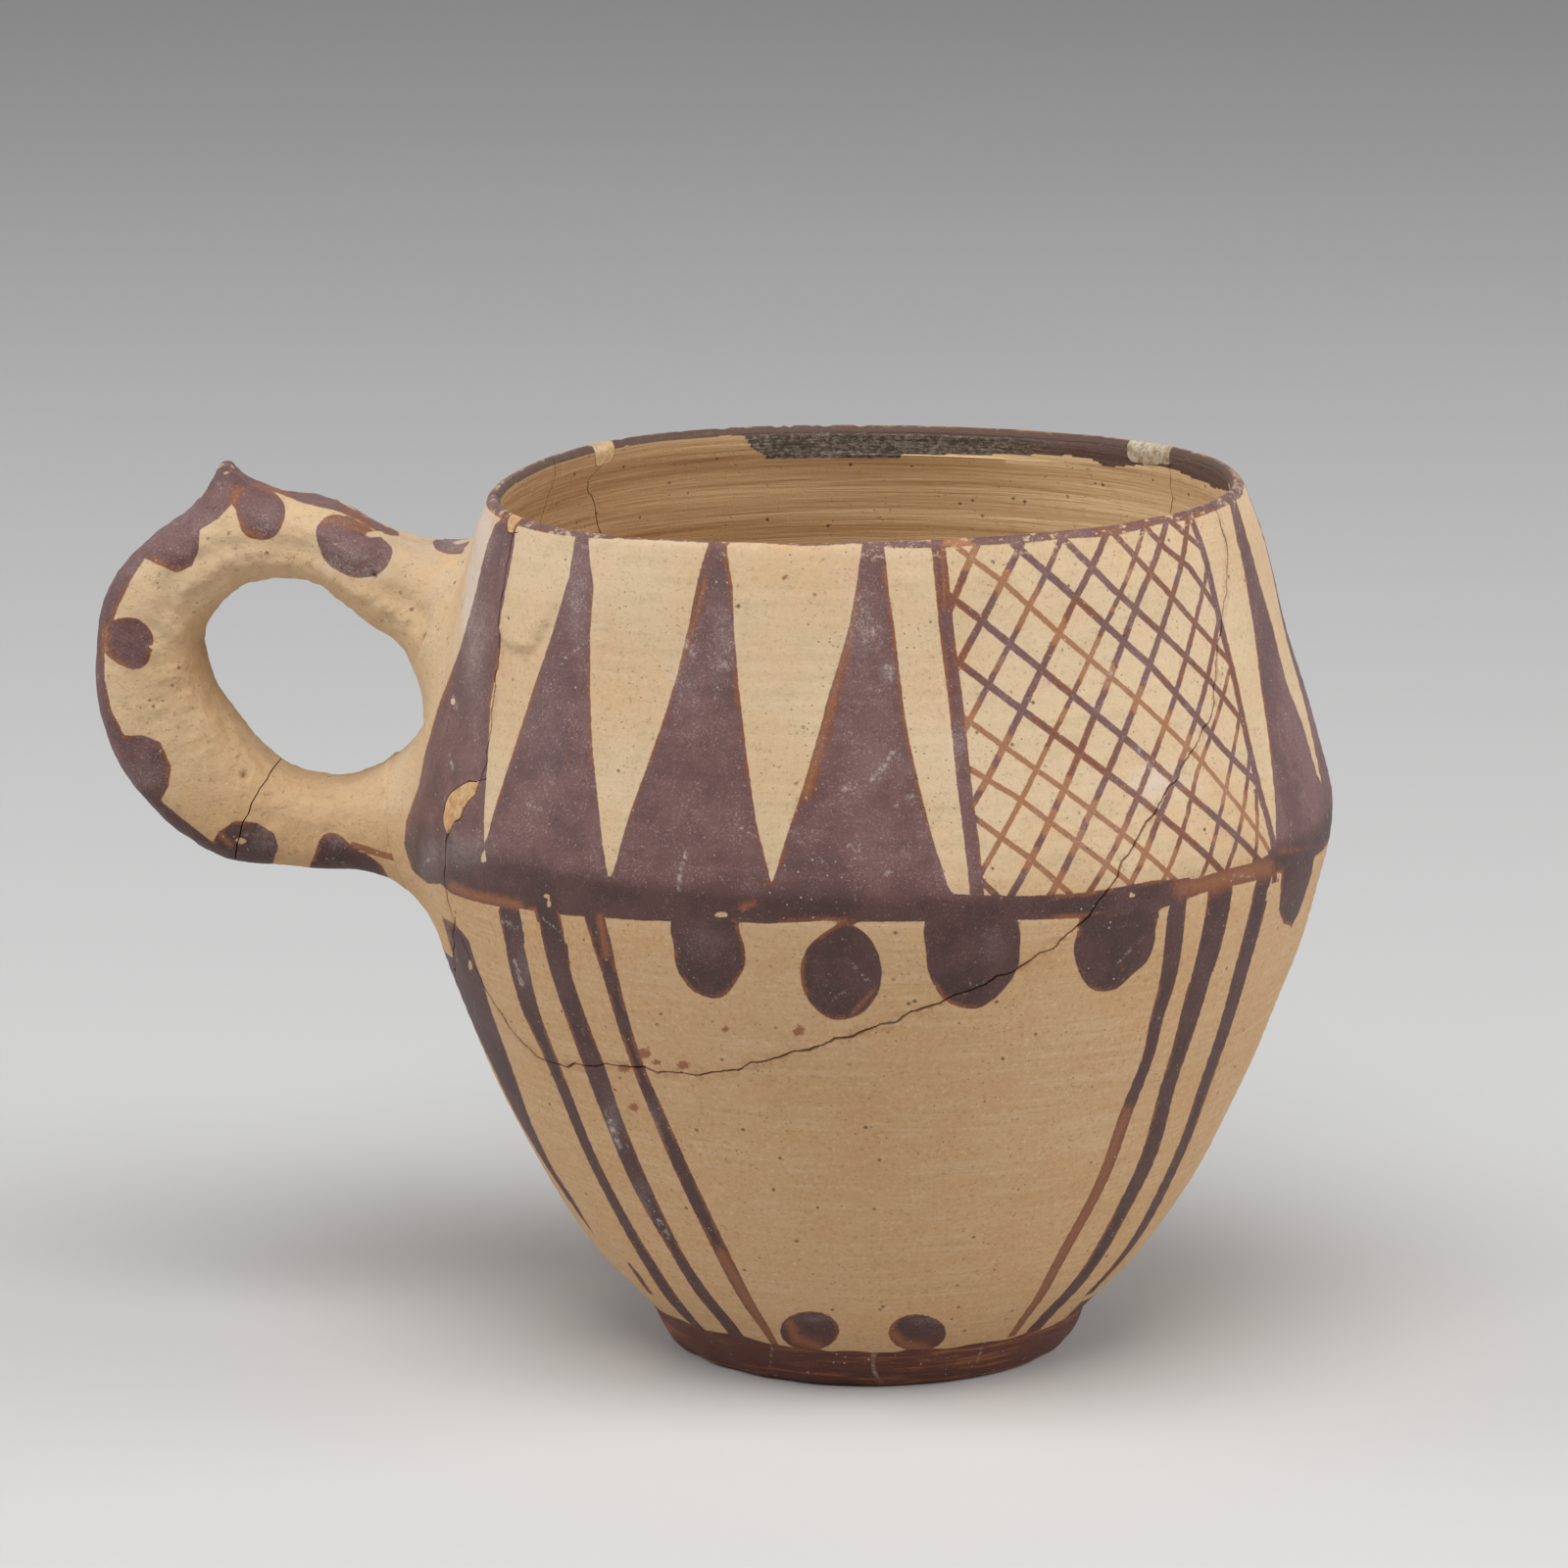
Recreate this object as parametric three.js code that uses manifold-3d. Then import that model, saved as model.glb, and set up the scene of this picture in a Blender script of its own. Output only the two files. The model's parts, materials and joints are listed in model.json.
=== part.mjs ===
// A one-handled cup of thrown and painted earthenware, broken in ancient times and glued together again.
// Millimetres, +Z up. The origin is the middle of the foot's underside, on the axis of the wheel.
// The handle stands out along -X. A bearing is an angle in degrees round the cup, from the front
// at -Y towards +X, so that the handle is at -90.

import * as THREE from "three";
import { mergeVertices } from "three/addons/utils/BufferGeometryUtils.js";
import Module from "manifold-3d";

const wasm = await Module();
wasm.setup();

// Driving dimensions
const RIM_HEIGHT = 115;
const RIM_RADIUS = 49.75;
const RIDGE_HEIGHT = 73.5;
const RIDGE_RADIUS = 60.6;
const FOOT_HEIGHT = 5.2;
const FOOT_RADIUS = 29.2;
const REST_RADIUS = 25.6;
const FLOOR_HEIGHT = 10.2;
const FLOOR_WALL = 4.4;
const RIDGE_WALL = 3.8;
const RIM_WALL = 2.6;
const LIP_HEIGHT = 112.5;
const GLUE_GAP = 0.3;
const SEGMENTS = 60;
const PROBE_SIZE = 1;

// The outside of the bowl from the foot to the ridge, and of the shoulder from the ridge to the lip,
// as radius and height
const BOWL_OUTLINE = [
  [FOOT_RADIUS, FOOT_HEIGHT + GLUE_GAP],
  [31.6, 8],
  [37.1, 14],
  [42.4, 22],
  [47.6, 32],
  [52.7, 44],
  [56.7, 55],
  [59.85, 66.5],
  [RIDGE_RADIUS, RIDGE_HEIGHT],
];
const SHOULDER_OUTLINE = [
  [RIDGE_RADIUS, RIDGE_HEIGHT],
  [59.8, 78],
  [57.8, 86],
  [54.6, 98],
  [52.3, 108],
  [50.7, LIP_HEIGHT],
];

// The wheel-thrown rim was pushed out of round. Each line is a size in mm, the number of waves in one
// turn and the bearing of a crest. The push grows from nothing at the ridge to its full size at the rim.
const RIM_SPREAD = [
  [2.04, 1, 2],
  [1.68, 2, -21],
  [1.03, 3, -52],
  [0.99, 4, 45],
];
const RIM_LIFT = [
  [0.74, 1, 33],
  [0.46, 2, 66],
];
const PUSH_START = 70;

// The breaks, as bearing and height on the outer face
const ABOVE_RIM = RIM_HEIGHT + 3;
const FRONT_BREAK = [
  [-57.1, 73.3],
  [-59.8, 67],
  [-60.2, 61.2],
  [-54.9, 51.7],
  [-46.6, 45.3],
  [-30.4, 47.2],
  [-17.2, 47.7],
  [-6, 51.2],
  [4.4, 54.9],
  [15.3, 59.4],
  [23.8, 63.1],
  [31.8, 68.8],
  [39.3, 78.5],
  [50.5, 88.1],
  [54, 91.1],
  [57.4, 98.1],
  [62.6, 105.2],
  [65, 110.3],
  [64.2, ABOVE_RIM],
];
const LEFT_BREAK = [
  [-50.2, ABOVE_RIM],
  [-50.3, 111],
  [-50, 104],
  [-49.4, 92],
  [-49.9, 82],
  [-57.1, 73.3],
];
const UNDER_BREAK = [
  [-60.2, 61.2],
  [-72, 50.5],
  [-90, 46.5],
  [-108, 51],
  [-125, 59],
  [-142, 57],
  [-160, 60],
  [-180, 58],
  [-200, 64],
  [-216, 74],
  [-224, 85],
  [-226, 95],
  [-228.6, 105],
  [-231, 112.6],
  [-231, ABOVE_RIM],
];
const SIDE_BREAK = [
  [-105.9, ABOVE_RIM],
  [-106.2, 106.5],
  [-109, 95],
  [-113, 80],
  [-112, 66],
  [-116, 55],
];
const BACK_BREAK = [
  [-121.5, 112.3],
  [-119.7, 110.8],
  [-124.2, 105.7],
  [-131, 92],
  [-137, 76],
  [-142, 57],
];

// The chips that were filled, each bounded by its own line and by the break that it lies on
const LEFT_RIM_CHIP = [
  [-127, ABOVE_RIM],
  [-126.4, 113.4],
  [-123.6, 112],
  [-120.6, 112.6],
  [-119.6, ABOVE_RIM],
];
const RIGHT_RIM_CHIP = [
  [-231, 112.6],
  [-224, 111.2],
  [-219, 112.6],
  [-218.3, ABOVE_RIM],
];
const FRONT_RIM_CHIP = [
  [-50.3, 112.6],
  [-53.5, 112.9],
  [-56, ABOVE_RIM],
];
const WALL_CHIP = [
  [-49.9, 82],
  [-54.2, 80.6],
  [-57.8, 78.2],
  [-58.6, 75.4],
  [-57.1, 73.3],
];

// The handle from its upper root to its lower root. Each line gives the outer edge, as distance from
// the axis and height, then the edge on the finger hole, then the breadth across the handle.
const HANDLE_STATIONS = [
  [48, 104.5, 50, 82.5, 30],
  [53.8, 104.8, 57.8, 86.5, 25],
  [58.5, 105.2, 61.9, 90.6, 20.5],
  [65, 107.2, 66.4, 95.1, 17.5],
  [73, 110.8, 73.3, 100, 16.5],
  [84, 111.1, 80.5, 100.1, 16.5],
  [93.3, 107.1, 85.2, 97.5, 17],
  [100.2, 99.9, 88, 93.7, 17],
  [102.3, 89.2, 88.4, 90, 17],
  [101.2, 79.1, 86.7, 85.1, 17],
  [96, 70, 82.8, 80, 17],
  [86.3, 63.5, 78.4, 75.5, 16.5],
  [75, 62, 72.9, 73.5, 16.5],
  [66.6, 61.6, 66.4, 73.9, 18],
  [61.6, 58.6, 62.4, 76, 22],
  [57.6, 53.6, 58.8, 79, 27],
  [50, 46, 51, 83, 34],
];
const HANDLE_RINGS = 46;
const HANDLE_SIDES = 16;
const HANDLE_SQUARENESS = 0.72;
const HANDLE_BREAK = [
  [76.5, 78.5],
  [80.4, 71.5],
  [82.2, 67],
  [84.6, 59.5],
];

// The thumb spur, as rings from its seat to its tip: distance from the axis, height, length and breadth
const SPUR_RINGS = [
  [81.4, 106, 15, 13],
  [81.8, 109.4, 13, 12],
  [82.5, 111.7, 9, 10],
  [83.4, 113.6, 4.4, 6.4],
  [84, 114.8, 1.6, 3],
];
const SPUR_SIDES = 14;

const CLAY = { color: "#cdb08a", roughness: 0.85, metalness: 0 };
const SLIP = { color: "#5a3d34", roughness: 0.7, metalness: 0 };
const PALE_FILL = { color: "#d8bd94", roughness: 0.9, metalness: 0 };
const OCHRE_FILL = { color: "#c39f62", roughness: 0.85, metalness: 0 };

const radians = THREE.MathUtils.degToRad;

// A sum of waves round the cup, each a size, a number of waves and a crest's bearing
function waves(list, bearing) {
  let sum = 0;
  for (const [size, count, crest] of list) {
    sum += size * Math.cos(count * radians(bearing - crest));
  }
  return sum;
}

// The place of a point of the round cup once the rim is pushed out of round
function pushed(radius, height, bearing) {
  const share = THREE.MathUtils.clamp((height - PUSH_START) / (RIM_HEIGHT - PUSH_START), 0, 1);
  const r = radius + share * waves(RIM_SPREAD, bearing);
  const angle = radians(bearing);
  const z = height + share * waves(RIM_LIFT, bearing);
  return new THREE.Vector3(r * Math.sin(angle), -r * Math.cos(angle), z);
}

function curve(points) {
  return new THREE.SplineCurve(points.map(([x, y]) => new THREE.Vector2(x, y)));
}

const bowlCurve = curve(BOWL_OUTLINE);
const shoulderCurve = curve(SHOULDER_OUTLINE);
const outerFace = [...bowlCurve.getPoints(12), ...shoulderCurve.getPoints(8).slice(1)];

// The radius of the outer face at a height, and the slope of the outline there
function outerRadius(height) {
  const last = outerFace.length - 1;
  for (let i = 1; i <= last; i += 1) {
    if (outerFace[i].y >= height || i === last) {
      const low = outerFace[i - 1];
      const high = outerFace[i];
      const share = (height - low.y) / (high.y - low.y);
      return low.x + share * (high.x - low.x);
    }
  }
  return RIM_RADIUS;
}

function outlineSlope(height) {
  const step = 1.5;
  return (outerRadius(height + step) - outerRadius(height - step)) / (2 * step);
}

function wallAt(height) {
  if (height < RIDGE_HEIGHT) {
    const share = (height - FLOOR_HEIGHT) / (RIDGE_HEIGHT - FLOOR_HEIGHT);
    return THREE.MathUtils.lerp(FLOOR_WALL, RIDGE_WALL, share);
  }
  const share = (height - RIDGE_HEIGHT) / (LIP_HEIGHT - RIDGE_HEIGHT);
  return THREE.MathUtils.lerp(RIDGE_WALL, RIM_WALL, share);
}

// The inner face is the outer face moved in by the wall, along the outline's normal
function innerFace() {
  const points = [];
  const count = 15;
  const lowest = FLOOR_HEIGHT + 2.4;
  for (let i = 0; i <= count; i += 1) {
    const height = THREE.MathUtils.lerp(LIP_HEIGHT - 0.8, lowest, i / count);
    const slope = outlineSlope(height);
    const length = Math.hypot(1, slope);
    const wall = wallAt(height);
    points.push(new THREE.Vector2(outerRadius(height) - wall / length, height + (wall * slope) / length));
  }
  return points;
}

function cupOutline() {
  const lip = [
    new THREE.Vector2(RIM_RADIUS + 0.3, 114.3),
    new THREE.Vector2(RIM_RADIUS - 0.7, RIM_HEIGHT),
    new THREE.Vector2(RIM_RADIUS - 1.5, 114.4),
  ];
  const inner = innerFace();
  const lowest = inner[inner.length - 1];
  return [
    new THREE.Vector2(0, FOOT_HEIGHT + GLUE_GAP),
    ...outerFace,
    ...lip,
    ...inner,
    new THREE.Vector2(lowest.x - 4.5, FLOOR_HEIGHT + 0.5),
    new THREE.Vector2(0, FLOOR_HEIGHT),
  ];
}

// The whole cup without its hollow, grown by the glue gap, to trim what is set against it
function envelopeOutline() {
  const grown = outerFace.map((p) => new THREE.Vector2(p.x + GLUE_GAP, p.y));
  return [
    new THREE.Vector2(0, FOOT_HEIGHT + GLUE_GAP),
    ...grown,
    new THREE.Vector2(RIM_RADIUS + GLUE_GAP, RIM_HEIGHT),
    new THREE.Vector2(0, RIM_HEIGHT),
  ];
}

// A closed body with its vertices merged, no empty triangles and its faces pointing out
function bodyOf(geometry) {
  const source = geometry.index ? geometry : geometry.clone();
  source.deleteAttribute("normal");
  source.deleteAttribute("uv");
  const merged = mergeVertices(source, 1e-4);
  const position = merged.getAttribute("position");
  const a = new THREE.Vector3();
  const b = new THREE.Vector3();
  const c = new THREE.Vector3();
  const index = [];
  let volume = 0;
  for (let i = 0; i < merged.index.count; i += 3) {
    const corner = [0, 1, 2].map((k) => merged.index.getX(i + k));
    const flat = corner[0] === corner[1] || corner[1] === corner[2] || corner[2] === corner[0];
    if (!flat) {
      index.push(...corner);
      a.fromBufferAttribute(position, corner[0]);
      b.fromBufferAttribute(position, corner[1]);
      c.fromBufferAttribute(position, corner[2]);
      volume += a.dot(b.cross(c));
    }
  }
  if (volume < 0) {
    index.reverse();
  }
  return new wasm.Manifold(
    new wasm.Mesh({
      numProp: 3,
      vertProperties: new Float32Array(position.array),
      triVerts: new Uint32Array(index),
    }),
  );
}

function turned(outline) {
  const geometry = new THREE.LatheGeometry(outline, SEGMENTS);
  geometry.rotateX(Math.PI / 2);
  return geometry;
}

// A lathe body whose upper part is pushed out of round
function pushedBody(outline) {
  const geometry = turned(outline);
  const position = geometry.getAttribute("position");
  for (let i = 0; i < position.count; i += 1) {
    const x = position.getX(i);
    const y = position.getY(i);
    const bearing = THREE.MathUtils.radToDeg(Math.atan2(x, -y));
    const radius = Math.hypot(x, y);
    if (radius > 1) {
      const p = pushed(radius, position.getZ(i), bearing);
      position.setXYZ(i, p.x, p.y, p.z);
    }
  }
  return bodyOf(geometry);
}

// A body through closed rings of points, with a flat fan over each end. The two halves of a ring have
// mirrored diagonals, so that the two faces of a thin twisted blade stay side by side.
function lofted(rings) {
  const vertices = [];
  const index = [];
  const sides = rings[0].length;
  for (const ring of rings) {
    for (const p of ring) {
      vertices.push(p.x, p.y, p.z);
    }
  }
  for (let i = 0; i + 1 < rings.length; i += 1) {
    for (let k = 0; k < sides; k += 1) {
      const next = (k + 1) % sides;
      const a = i * sides + k;
      const b = i * sides + next;
      if (k < sides / 2) {
        index.push(a, b, a + sides, b, b + sides, a + sides);
      } else {
        index.push(a, b, b + sides, a, b + sides, a + sides);
      }
    }
  }
  const ends = [
    [0, rings[0], false],
    [(rings.length - 1) * sides, rings[rings.length - 1], true],
  ];
  for (const [first, ring, forward] of ends) {
    const middle = new THREE.Vector3();
    ring.forEach((p) => middle.addScaledVector(p, 1 / sides));
    const hub = vertices.length / 3;
    vertices.push(middle.x, middle.y, middle.z);
    for (let k = 0; k < sides; k += 1) {
      const a = first + k;
      const b = first + ((k + 1) % sides);
      index.push(...(forward ? [hub, a, b] : [hub, b, a]));
    }
  }
  const geometry = new THREE.BufferGeometry();
  geometry.setAttribute("position", new THREE.Float32BufferAttribute(vertices, 3));
  geometry.setIndex(index);
  return bodyOf(geometry);
}

// A thin blade through the wall along a line on the outer face. It runs a little past both its ends,
// so that blades that meet leave no web between them.
function blade(line) {
  const reachOut = 3;
  const reachIn = 8;
  const overrun = 0.6;
  const points = line.map(([bearing, height]) => pushed(outerRadius(Math.min(height, LIP_HEIGHT)), height, bearing));
  const first = points[0].clone().sub(points[1]).setLength(overrun);
  const last = points[points.length - 1].clone().sub(points[points.length - 2]).setLength(overrun);
  points[0].add(first);
  points[points.length - 1].add(last);
  const rings = points.map((p, i) => {
    const [bearing, height] = line[i];
    const slope = outlineSlope(Math.min(height, LIP_HEIGHT - 2));
    const angle = radians(bearing);
    const out = new THREE.Vector3(Math.sin(angle), -Math.cos(angle), -slope).normalize();
    const before = points[Math.max(i - 1, 0)];
    const after = points[Math.min(i + 1, points.length - 1)];
    const along = after.clone().sub(before).normalize();
    const side = new THREE.Vector3().crossVectors(out, along).setLength(GLUE_GAP / 2);
    const top = p.clone().addScaledVector(out, reachOut);
    const bottom = p.clone().addScaledVector(out, -reachIn);
    return [
      top.clone().add(side),
      top.clone().sub(side),
      bottom.clone().sub(side),
      bottom.clone().add(side),
    ];
  });
  return lofted(rings);
}

// A closed ring with rounded corners, between two points of the handle's plane
function handleRing(outer, inner, breadth, growth) {
  const middle = outer.clone().add(inner).multiplyScalar(0.5);
  const reach = outer.clone().sub(inner);
  const half = reach.length() / 2 + growth;
  reach.normalize();
  const ring = [];
  for (let k = 0; k < HANDLE_SIDES; k += 1) {
    const angle = (2 * Math.PI * k) / HANDLE_SIDES;
    const c = Math.sign(Math.cos(angle)) * Math.abs(Math.cos(angle)) ** HANDLE_SQUARENESS;
    const s = Math.sign(Math.sin(angle)) * Math.abs(Math.sin(angle)) ** HANDLE_SQUARENESS;
    const distance = middle.x + reach.x * half * c;
    const height = middle.y + reach.y * half * c;
    ring.push(new THREE.Vector3(-distance, (breadth / 2 + growth) * s, height));
  }
  return ring;
}

function handleBody(growth) {
  const outer = curve(HANDLE_STATIONS.map((s) => [s[0], s[1]]));
  const inner = curve(HANDLE_STATIONS.map((s) => [s[2], s[3]]));
  const breadth = curve(HANDLE_STATIONS.map((s, i) => [i, s[4]]));
  const rings = [];
  for (let i = 0; i <= HANDLE_RINGS; i += 1) {
    const t = i / HANDLE_RINGS;
    rings.push(handleRing(outer.getPoint(t), inner.getPoint(t), breadth.getPoint(t).y, growth));
  }
  return lofted(rings);
}

function handleBlade() {
  const reach = 14;
  const half = GLUE_GAP / 2;
  const rings = HANDLE_BREAK.map(([distance, height]) => [
    new THREE.Vector3(-distance - half, -reach, height),
    new THREE.Vector3(-distance + half, -reach, height),
    new THREE.Vector3(-distance + half, reach, height),
    new THREE.Vector3(-distance - half, reach, height),
  ]);
  return lofted(rings);
}

function spurBody() {
  const rings = SPUR_RINGS.map(([distance, height, length, breadth]) => {
    const ring = [];
    for (let k = 0; k < SPUR_SIDES; k += 1) {
      const angle = (2 * Math.PI * k) / SPUR_SIDES;
      const x = -distance + (length / 2) * Math.cos(angle);
      ring.push(new THREE.Vector3(x, (breadth / 2) * Math.sin(angle), height));
    }
    return ring;
  });
  return lofted(rings);
}

function footBody() {
  const outline = [
    [0, 0],
    [REST_RADIUS, 0],
    [REST_RADIUS + 1.1, 0.4],
    [REST_RADIUS + 1.9, 1.4],
    [FOOT_RADIUS - 0.6, 3.6],
    [FOOT_RADIUS, FOOT_HEIGHT],
    [0, FOOT_HEIGHT],
  ];
  return bodyOf(turned(outline.map(([r, z]) => new THREE.Vector2(r, z))));
}

const cup = new THREE.Group();

function addMesh(name, body, finish) {
  const mesh = body.getMesh();
  const geometry = new THREE.BufferGeometry();
  geometry.setAttribute("position", new THREE.Float32BufferAttribute(mesh.vertProperties, 3));
  geometry.setIndex(new THREE.BufferAttribute(mesh.triVerts, 1));
  geometry.computeVertexNormals();
  const piece = new THREE.Mesh(geometry, new THREE.MeshStandardMaterial(finish));
  piece.name = name;
  cup.add(piece);
}

// How much of a body lies in a small cube around a point
function shareAt(body, point) {
  const cube = new THREE.BoxGeometry(PROBE_SIZE, PROBE_SIZE, PROBE_SIZE);
  cube.translate(point.x, point.y, point.z);
  return body.intersect(bodyOf(cube)).volume();
}

// Names each loose piece by a point that lies in it
function addPieces(pieces, named) {
  const left = new Set(pieces);
  for (const [name, point, finish] of named) {
    const sorted = [...left].sort((p, q) => shareAt(q, point) - shareAt(p, point));
    addMesh(name, sorted[0], finish);
    left.delete(sorted[0]);
  }
  if (left.size > 0) {
    throw new Error(`${left.size} loose pieces have no name`);
  }
}

// A point in the wall, a little under the outer face
function onWall(bearing, height) {
  return pushed(outerRadius(height) - PROBE_SIZE, height, bearing);
}

const BREAKS = [FRONT_BREAK, LEFT_BREAK, UNDER_BREAK, SIDE_BREAK, BACK_BREAK];
const CHIPS = [LEFT_RIM_CHIP, RIGHT_RIM_CHIP, FRONT_RIM_CHIP, WALL_CHIP];

let broken = pushedBody(cupOutline());
for (const line of [...BREAKS, ...CHIPS]) {
  broken = broken.subtract(blade(line));
}
addPieces(broken.decompose(), [
  ["rim_fill_left", onWall(-123.4, 114), PALE_FILL],
  ["rim_fill_right", onWall(-223, 113.5), OCHRE_FILL],
  ["rim_fill_front", onWall(-52.4, 114), OCHRE_FILL],
  ["wall_fill", onWall(-56, 78.5), OCHRE_FILL],
  ["front_wall", onWall(0, 90), CLAY],
  ["handle_wall", onWall(-90, 90), CLAY],
  ["side_wall", onWall(-118, 90), CLAY],
  ["back_wall", onWall(-180, 90), CLAY],
  ["lower_bowl", onWall(0, 30), CLAY],
]);

addMesh("foot", footBody(), SLIP);

const envelope = pushedBody(envelopeOutline());
const handle = handleBody(0).subtract(envelope).subtract(handleBlade());
addPieces(handle.decompose(), [
  ["handle_arch", new THREE.Vector3(-100, 0, 88), CLAY],
  ["handle_root", new THREE.Vector3(-66, 0, 62), CLAY],
]);
addPieces(spurBody().subtract(handleBody(GLUE_GAP)).decompose(), [
  ["thumb_spur", new THREE.Vector3(-85, 0, 114), SLIP],
]);

export default cup;
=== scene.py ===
import json
import math

import bmesh
import bpy
import numpy as np
from mathutils import Euler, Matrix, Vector, noise
from mathutils.kdtree import KDTree

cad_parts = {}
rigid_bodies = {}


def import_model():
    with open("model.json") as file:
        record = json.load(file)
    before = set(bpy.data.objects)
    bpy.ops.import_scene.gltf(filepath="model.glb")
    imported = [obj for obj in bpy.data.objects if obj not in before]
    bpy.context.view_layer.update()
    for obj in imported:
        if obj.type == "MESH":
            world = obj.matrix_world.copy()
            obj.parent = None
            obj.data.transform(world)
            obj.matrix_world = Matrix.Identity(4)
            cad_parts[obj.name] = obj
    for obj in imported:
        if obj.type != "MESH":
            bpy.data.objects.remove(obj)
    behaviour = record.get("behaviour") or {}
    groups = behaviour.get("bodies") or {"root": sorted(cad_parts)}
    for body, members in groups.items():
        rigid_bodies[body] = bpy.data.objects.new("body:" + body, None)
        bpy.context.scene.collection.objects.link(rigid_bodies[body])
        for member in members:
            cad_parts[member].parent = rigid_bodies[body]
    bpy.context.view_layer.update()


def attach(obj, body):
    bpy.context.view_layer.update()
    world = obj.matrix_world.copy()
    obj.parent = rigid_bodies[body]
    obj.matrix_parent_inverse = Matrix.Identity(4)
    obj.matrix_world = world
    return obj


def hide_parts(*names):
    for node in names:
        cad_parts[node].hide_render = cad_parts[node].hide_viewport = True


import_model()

# Lengths are in millimetres until a mesh is made. A bearing is an angle in degrees round the cup, from the
# front at -Y towards +X, so that the handle is at -90. Places in the photograph are pixels of its
# 1600 x 1600 frame, and are cast onto the cup through the camera.
MM = 0.001
BODY = "root"

# Dimensions shared with the solid model
RIM_HEIGHT = 115
RIM_RADIUS = 49.75
RIDGE_HEIGHT = 73.5
RIDGE_RADIUS = 60.6
FOOT_HEIGHT = 5.2
FOOT_RADIUS = 29.2
REST_RADIUS = 25.6
FLOOR_HEIGHT = 10.2
FLOOR_WALL = 4.4
RIDGE_WALL = 3.8
RIM_WALL = 2.6
LIP_HEIGHT = 112.5
GLUE_GAP = 0.3
PUSH_START = 70
ABOVE_RIM = RIM_HEIGHT + 3

BOWL_OUTLINE = [
    (FOOT_RADIUS, FOOT_HEIGHT + GLUE_GAP),
    (31.6, 8), (37.1, 14), (42.4, 22), (47.6, 32), (52.7, 44), (56.7, 55), (59.85, 66.5),
    (RIDGE_RADIUS, RIDGE_HEIGHT),
]
SHOULDER_OUTLINE = [
    (RIDGE_RADIUS, RIDGE_HEIGHT),
    (59.8, 78), (57.8, 86), (54.6, 98), (52.3, 108),
    (50.7, LIP_HEIGHT),
]
LIP_OUTLINE = [(50.3, 113.6), (49.8, 114.5), (49.1, 114.95), (48.55, 114.6), (48.2, 113.6)]

# The rim is out of round: size in mm, waves in a turn, bearing of a crest
RIM_SPREAD = [(2.04, 1, 2), (1.68, 2, -21), (1.03, 3, -52), (0.99, 4, 45)]
RIM_LIFT = [(0.74, 1, 33), (0.46, 2, 66)]

# Breaks and filled chips, as bearing and height on the outer face
FRONT_BREAK = [
    (-57.1, 73.3), (-59.8, 67), (-60.2, 61.2), (-54.9, 51.7), (-46.6, 45.3), (-30.4, 47.2), (-17.2, 47.7),
    (-6, 51.2), (4.4, 54.9), (15.3, 59.4), (23.8, 63.1), (31.8, 68.8), (39.3, 78.5), (50.5, 88.1), (54, 91.1),
    (57.4, 98.1), (62.6, 105.2), (65, 110.3), (64.2, ABOVE_RIM),
]
LEFT_BREAK = [(-50.2, ABOVE_RIM), (-50.3, 111), (-50, 104), (-49.4, 92), (-49.9, 82), (-57.1, 73.3)]
UNDER_BREAK = [
    (-60.2, 61.2), (-72, 50.5), (-90, 46.5), (-108, 51), (-125, 59), (-142, 57), (-160, 60), (-180, 58),
    (-200, 64), (-216, 74), (-224, 85), (-226, 95), (-228.6, 105), (-231, 112.6), (-231, ABOVE_RIM),
]
SIDE_BREAK = [(-105.9, ABOVE_RIM), (-106.2, 106.5), (-109, 95), (-113, 80), (-112, 66), (-116, 55)]
BACK_BREAK = [(-121.5, 112.3), (-119.7, 110.8), (-124.2, 105.7), (-131, 92), (-137, 76), (-142, 57)]
LEFT_RIM_CHIP = [(-126.4, ABOVE_RIM), (-125.8, 113.8), (-123.6, 112.8), (-120.8, 113.2), (-119.8, ABOVE_RIM)]
RIGHT_RIM_CHIP = [(-230.5, 113.4), (-225, 112.8), (-220.6, 113.4), (-219.8, ABOVE_RIM)]
FRONT_RIM_CHIP = [(-50.3, 113.2), (-52.4, 113.3), (-54, ABOVE_RIM)]
WALL_CHIP = [(-49.9, 82), (-54.2, 80.6), (-57.8, 78.2), (-58.6, 75.4), (-57.1, 73.3)]
BREAKS = [FRONT_BREAK, LEFT_BREAK, UNDER_BREAK, SIDE_BREAK, BACK_BREAK]
CHIPS = [LEFT_RIM_CHIP, RIGHT_RIM_CHIP, FRONT_RIM_CHIP, WALL_CHIP]
BREAK_SEED = 20
CHIP_SEED = 40
# How far a break wanders from its line
WANDER = 0.22

# The handle from its upper to its lower root: outer edge, edge on the finger hole, breadth
HANDLE_STATIONS = [
    (46, 104.8, 48, 90.5, 18), (54, 105.3, 57, 92, 17.5), (60, 105.8, 62.2, 93.6, 17.2),
    (65, 107.4, 66.5, 95.3, 17), (73, 111.1, 73.3, 99.8, 16.5), (84, 111, 80.4, 99.9, 16.5),
    (93.1, 106.8, 84.8, 97.3, 17), (100, 99.8, 87.8, 93.6, 17), (102.15, 89.4, 88.2, 90, 17),
    (100.9, 79.3, 86.6, 85.1, 17), (95.7, 70.3, 82.8, 80.2, 17), (86.5, 63.3, 78.3, 75.7, 16.5),
    (75, 61.9, 72.9, 73.8, 16.5), (67, 61.8, 66.5, 73.5, 17), (61, 61.4, 61.4, 73.7, 17.5),
    (55, 61, 56, 73.8, 18), (48, 60.6, 49.5, 74, 18.5),
]
# The radius of the round corner between the handle and the wall, on the finger hole, at the sides and outside
UPPER_ROOT_FILLET = (15, 10, 5)
LOWER_ROOT_FILLET = (12.5, 12, 10)
HANDLE_SQUARENESS = 0.72
HANDLE_BREAK = [(76.5, 78.5), (80.4, 71.5), (82.2, 67), (84.6, 59.5)]
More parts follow.
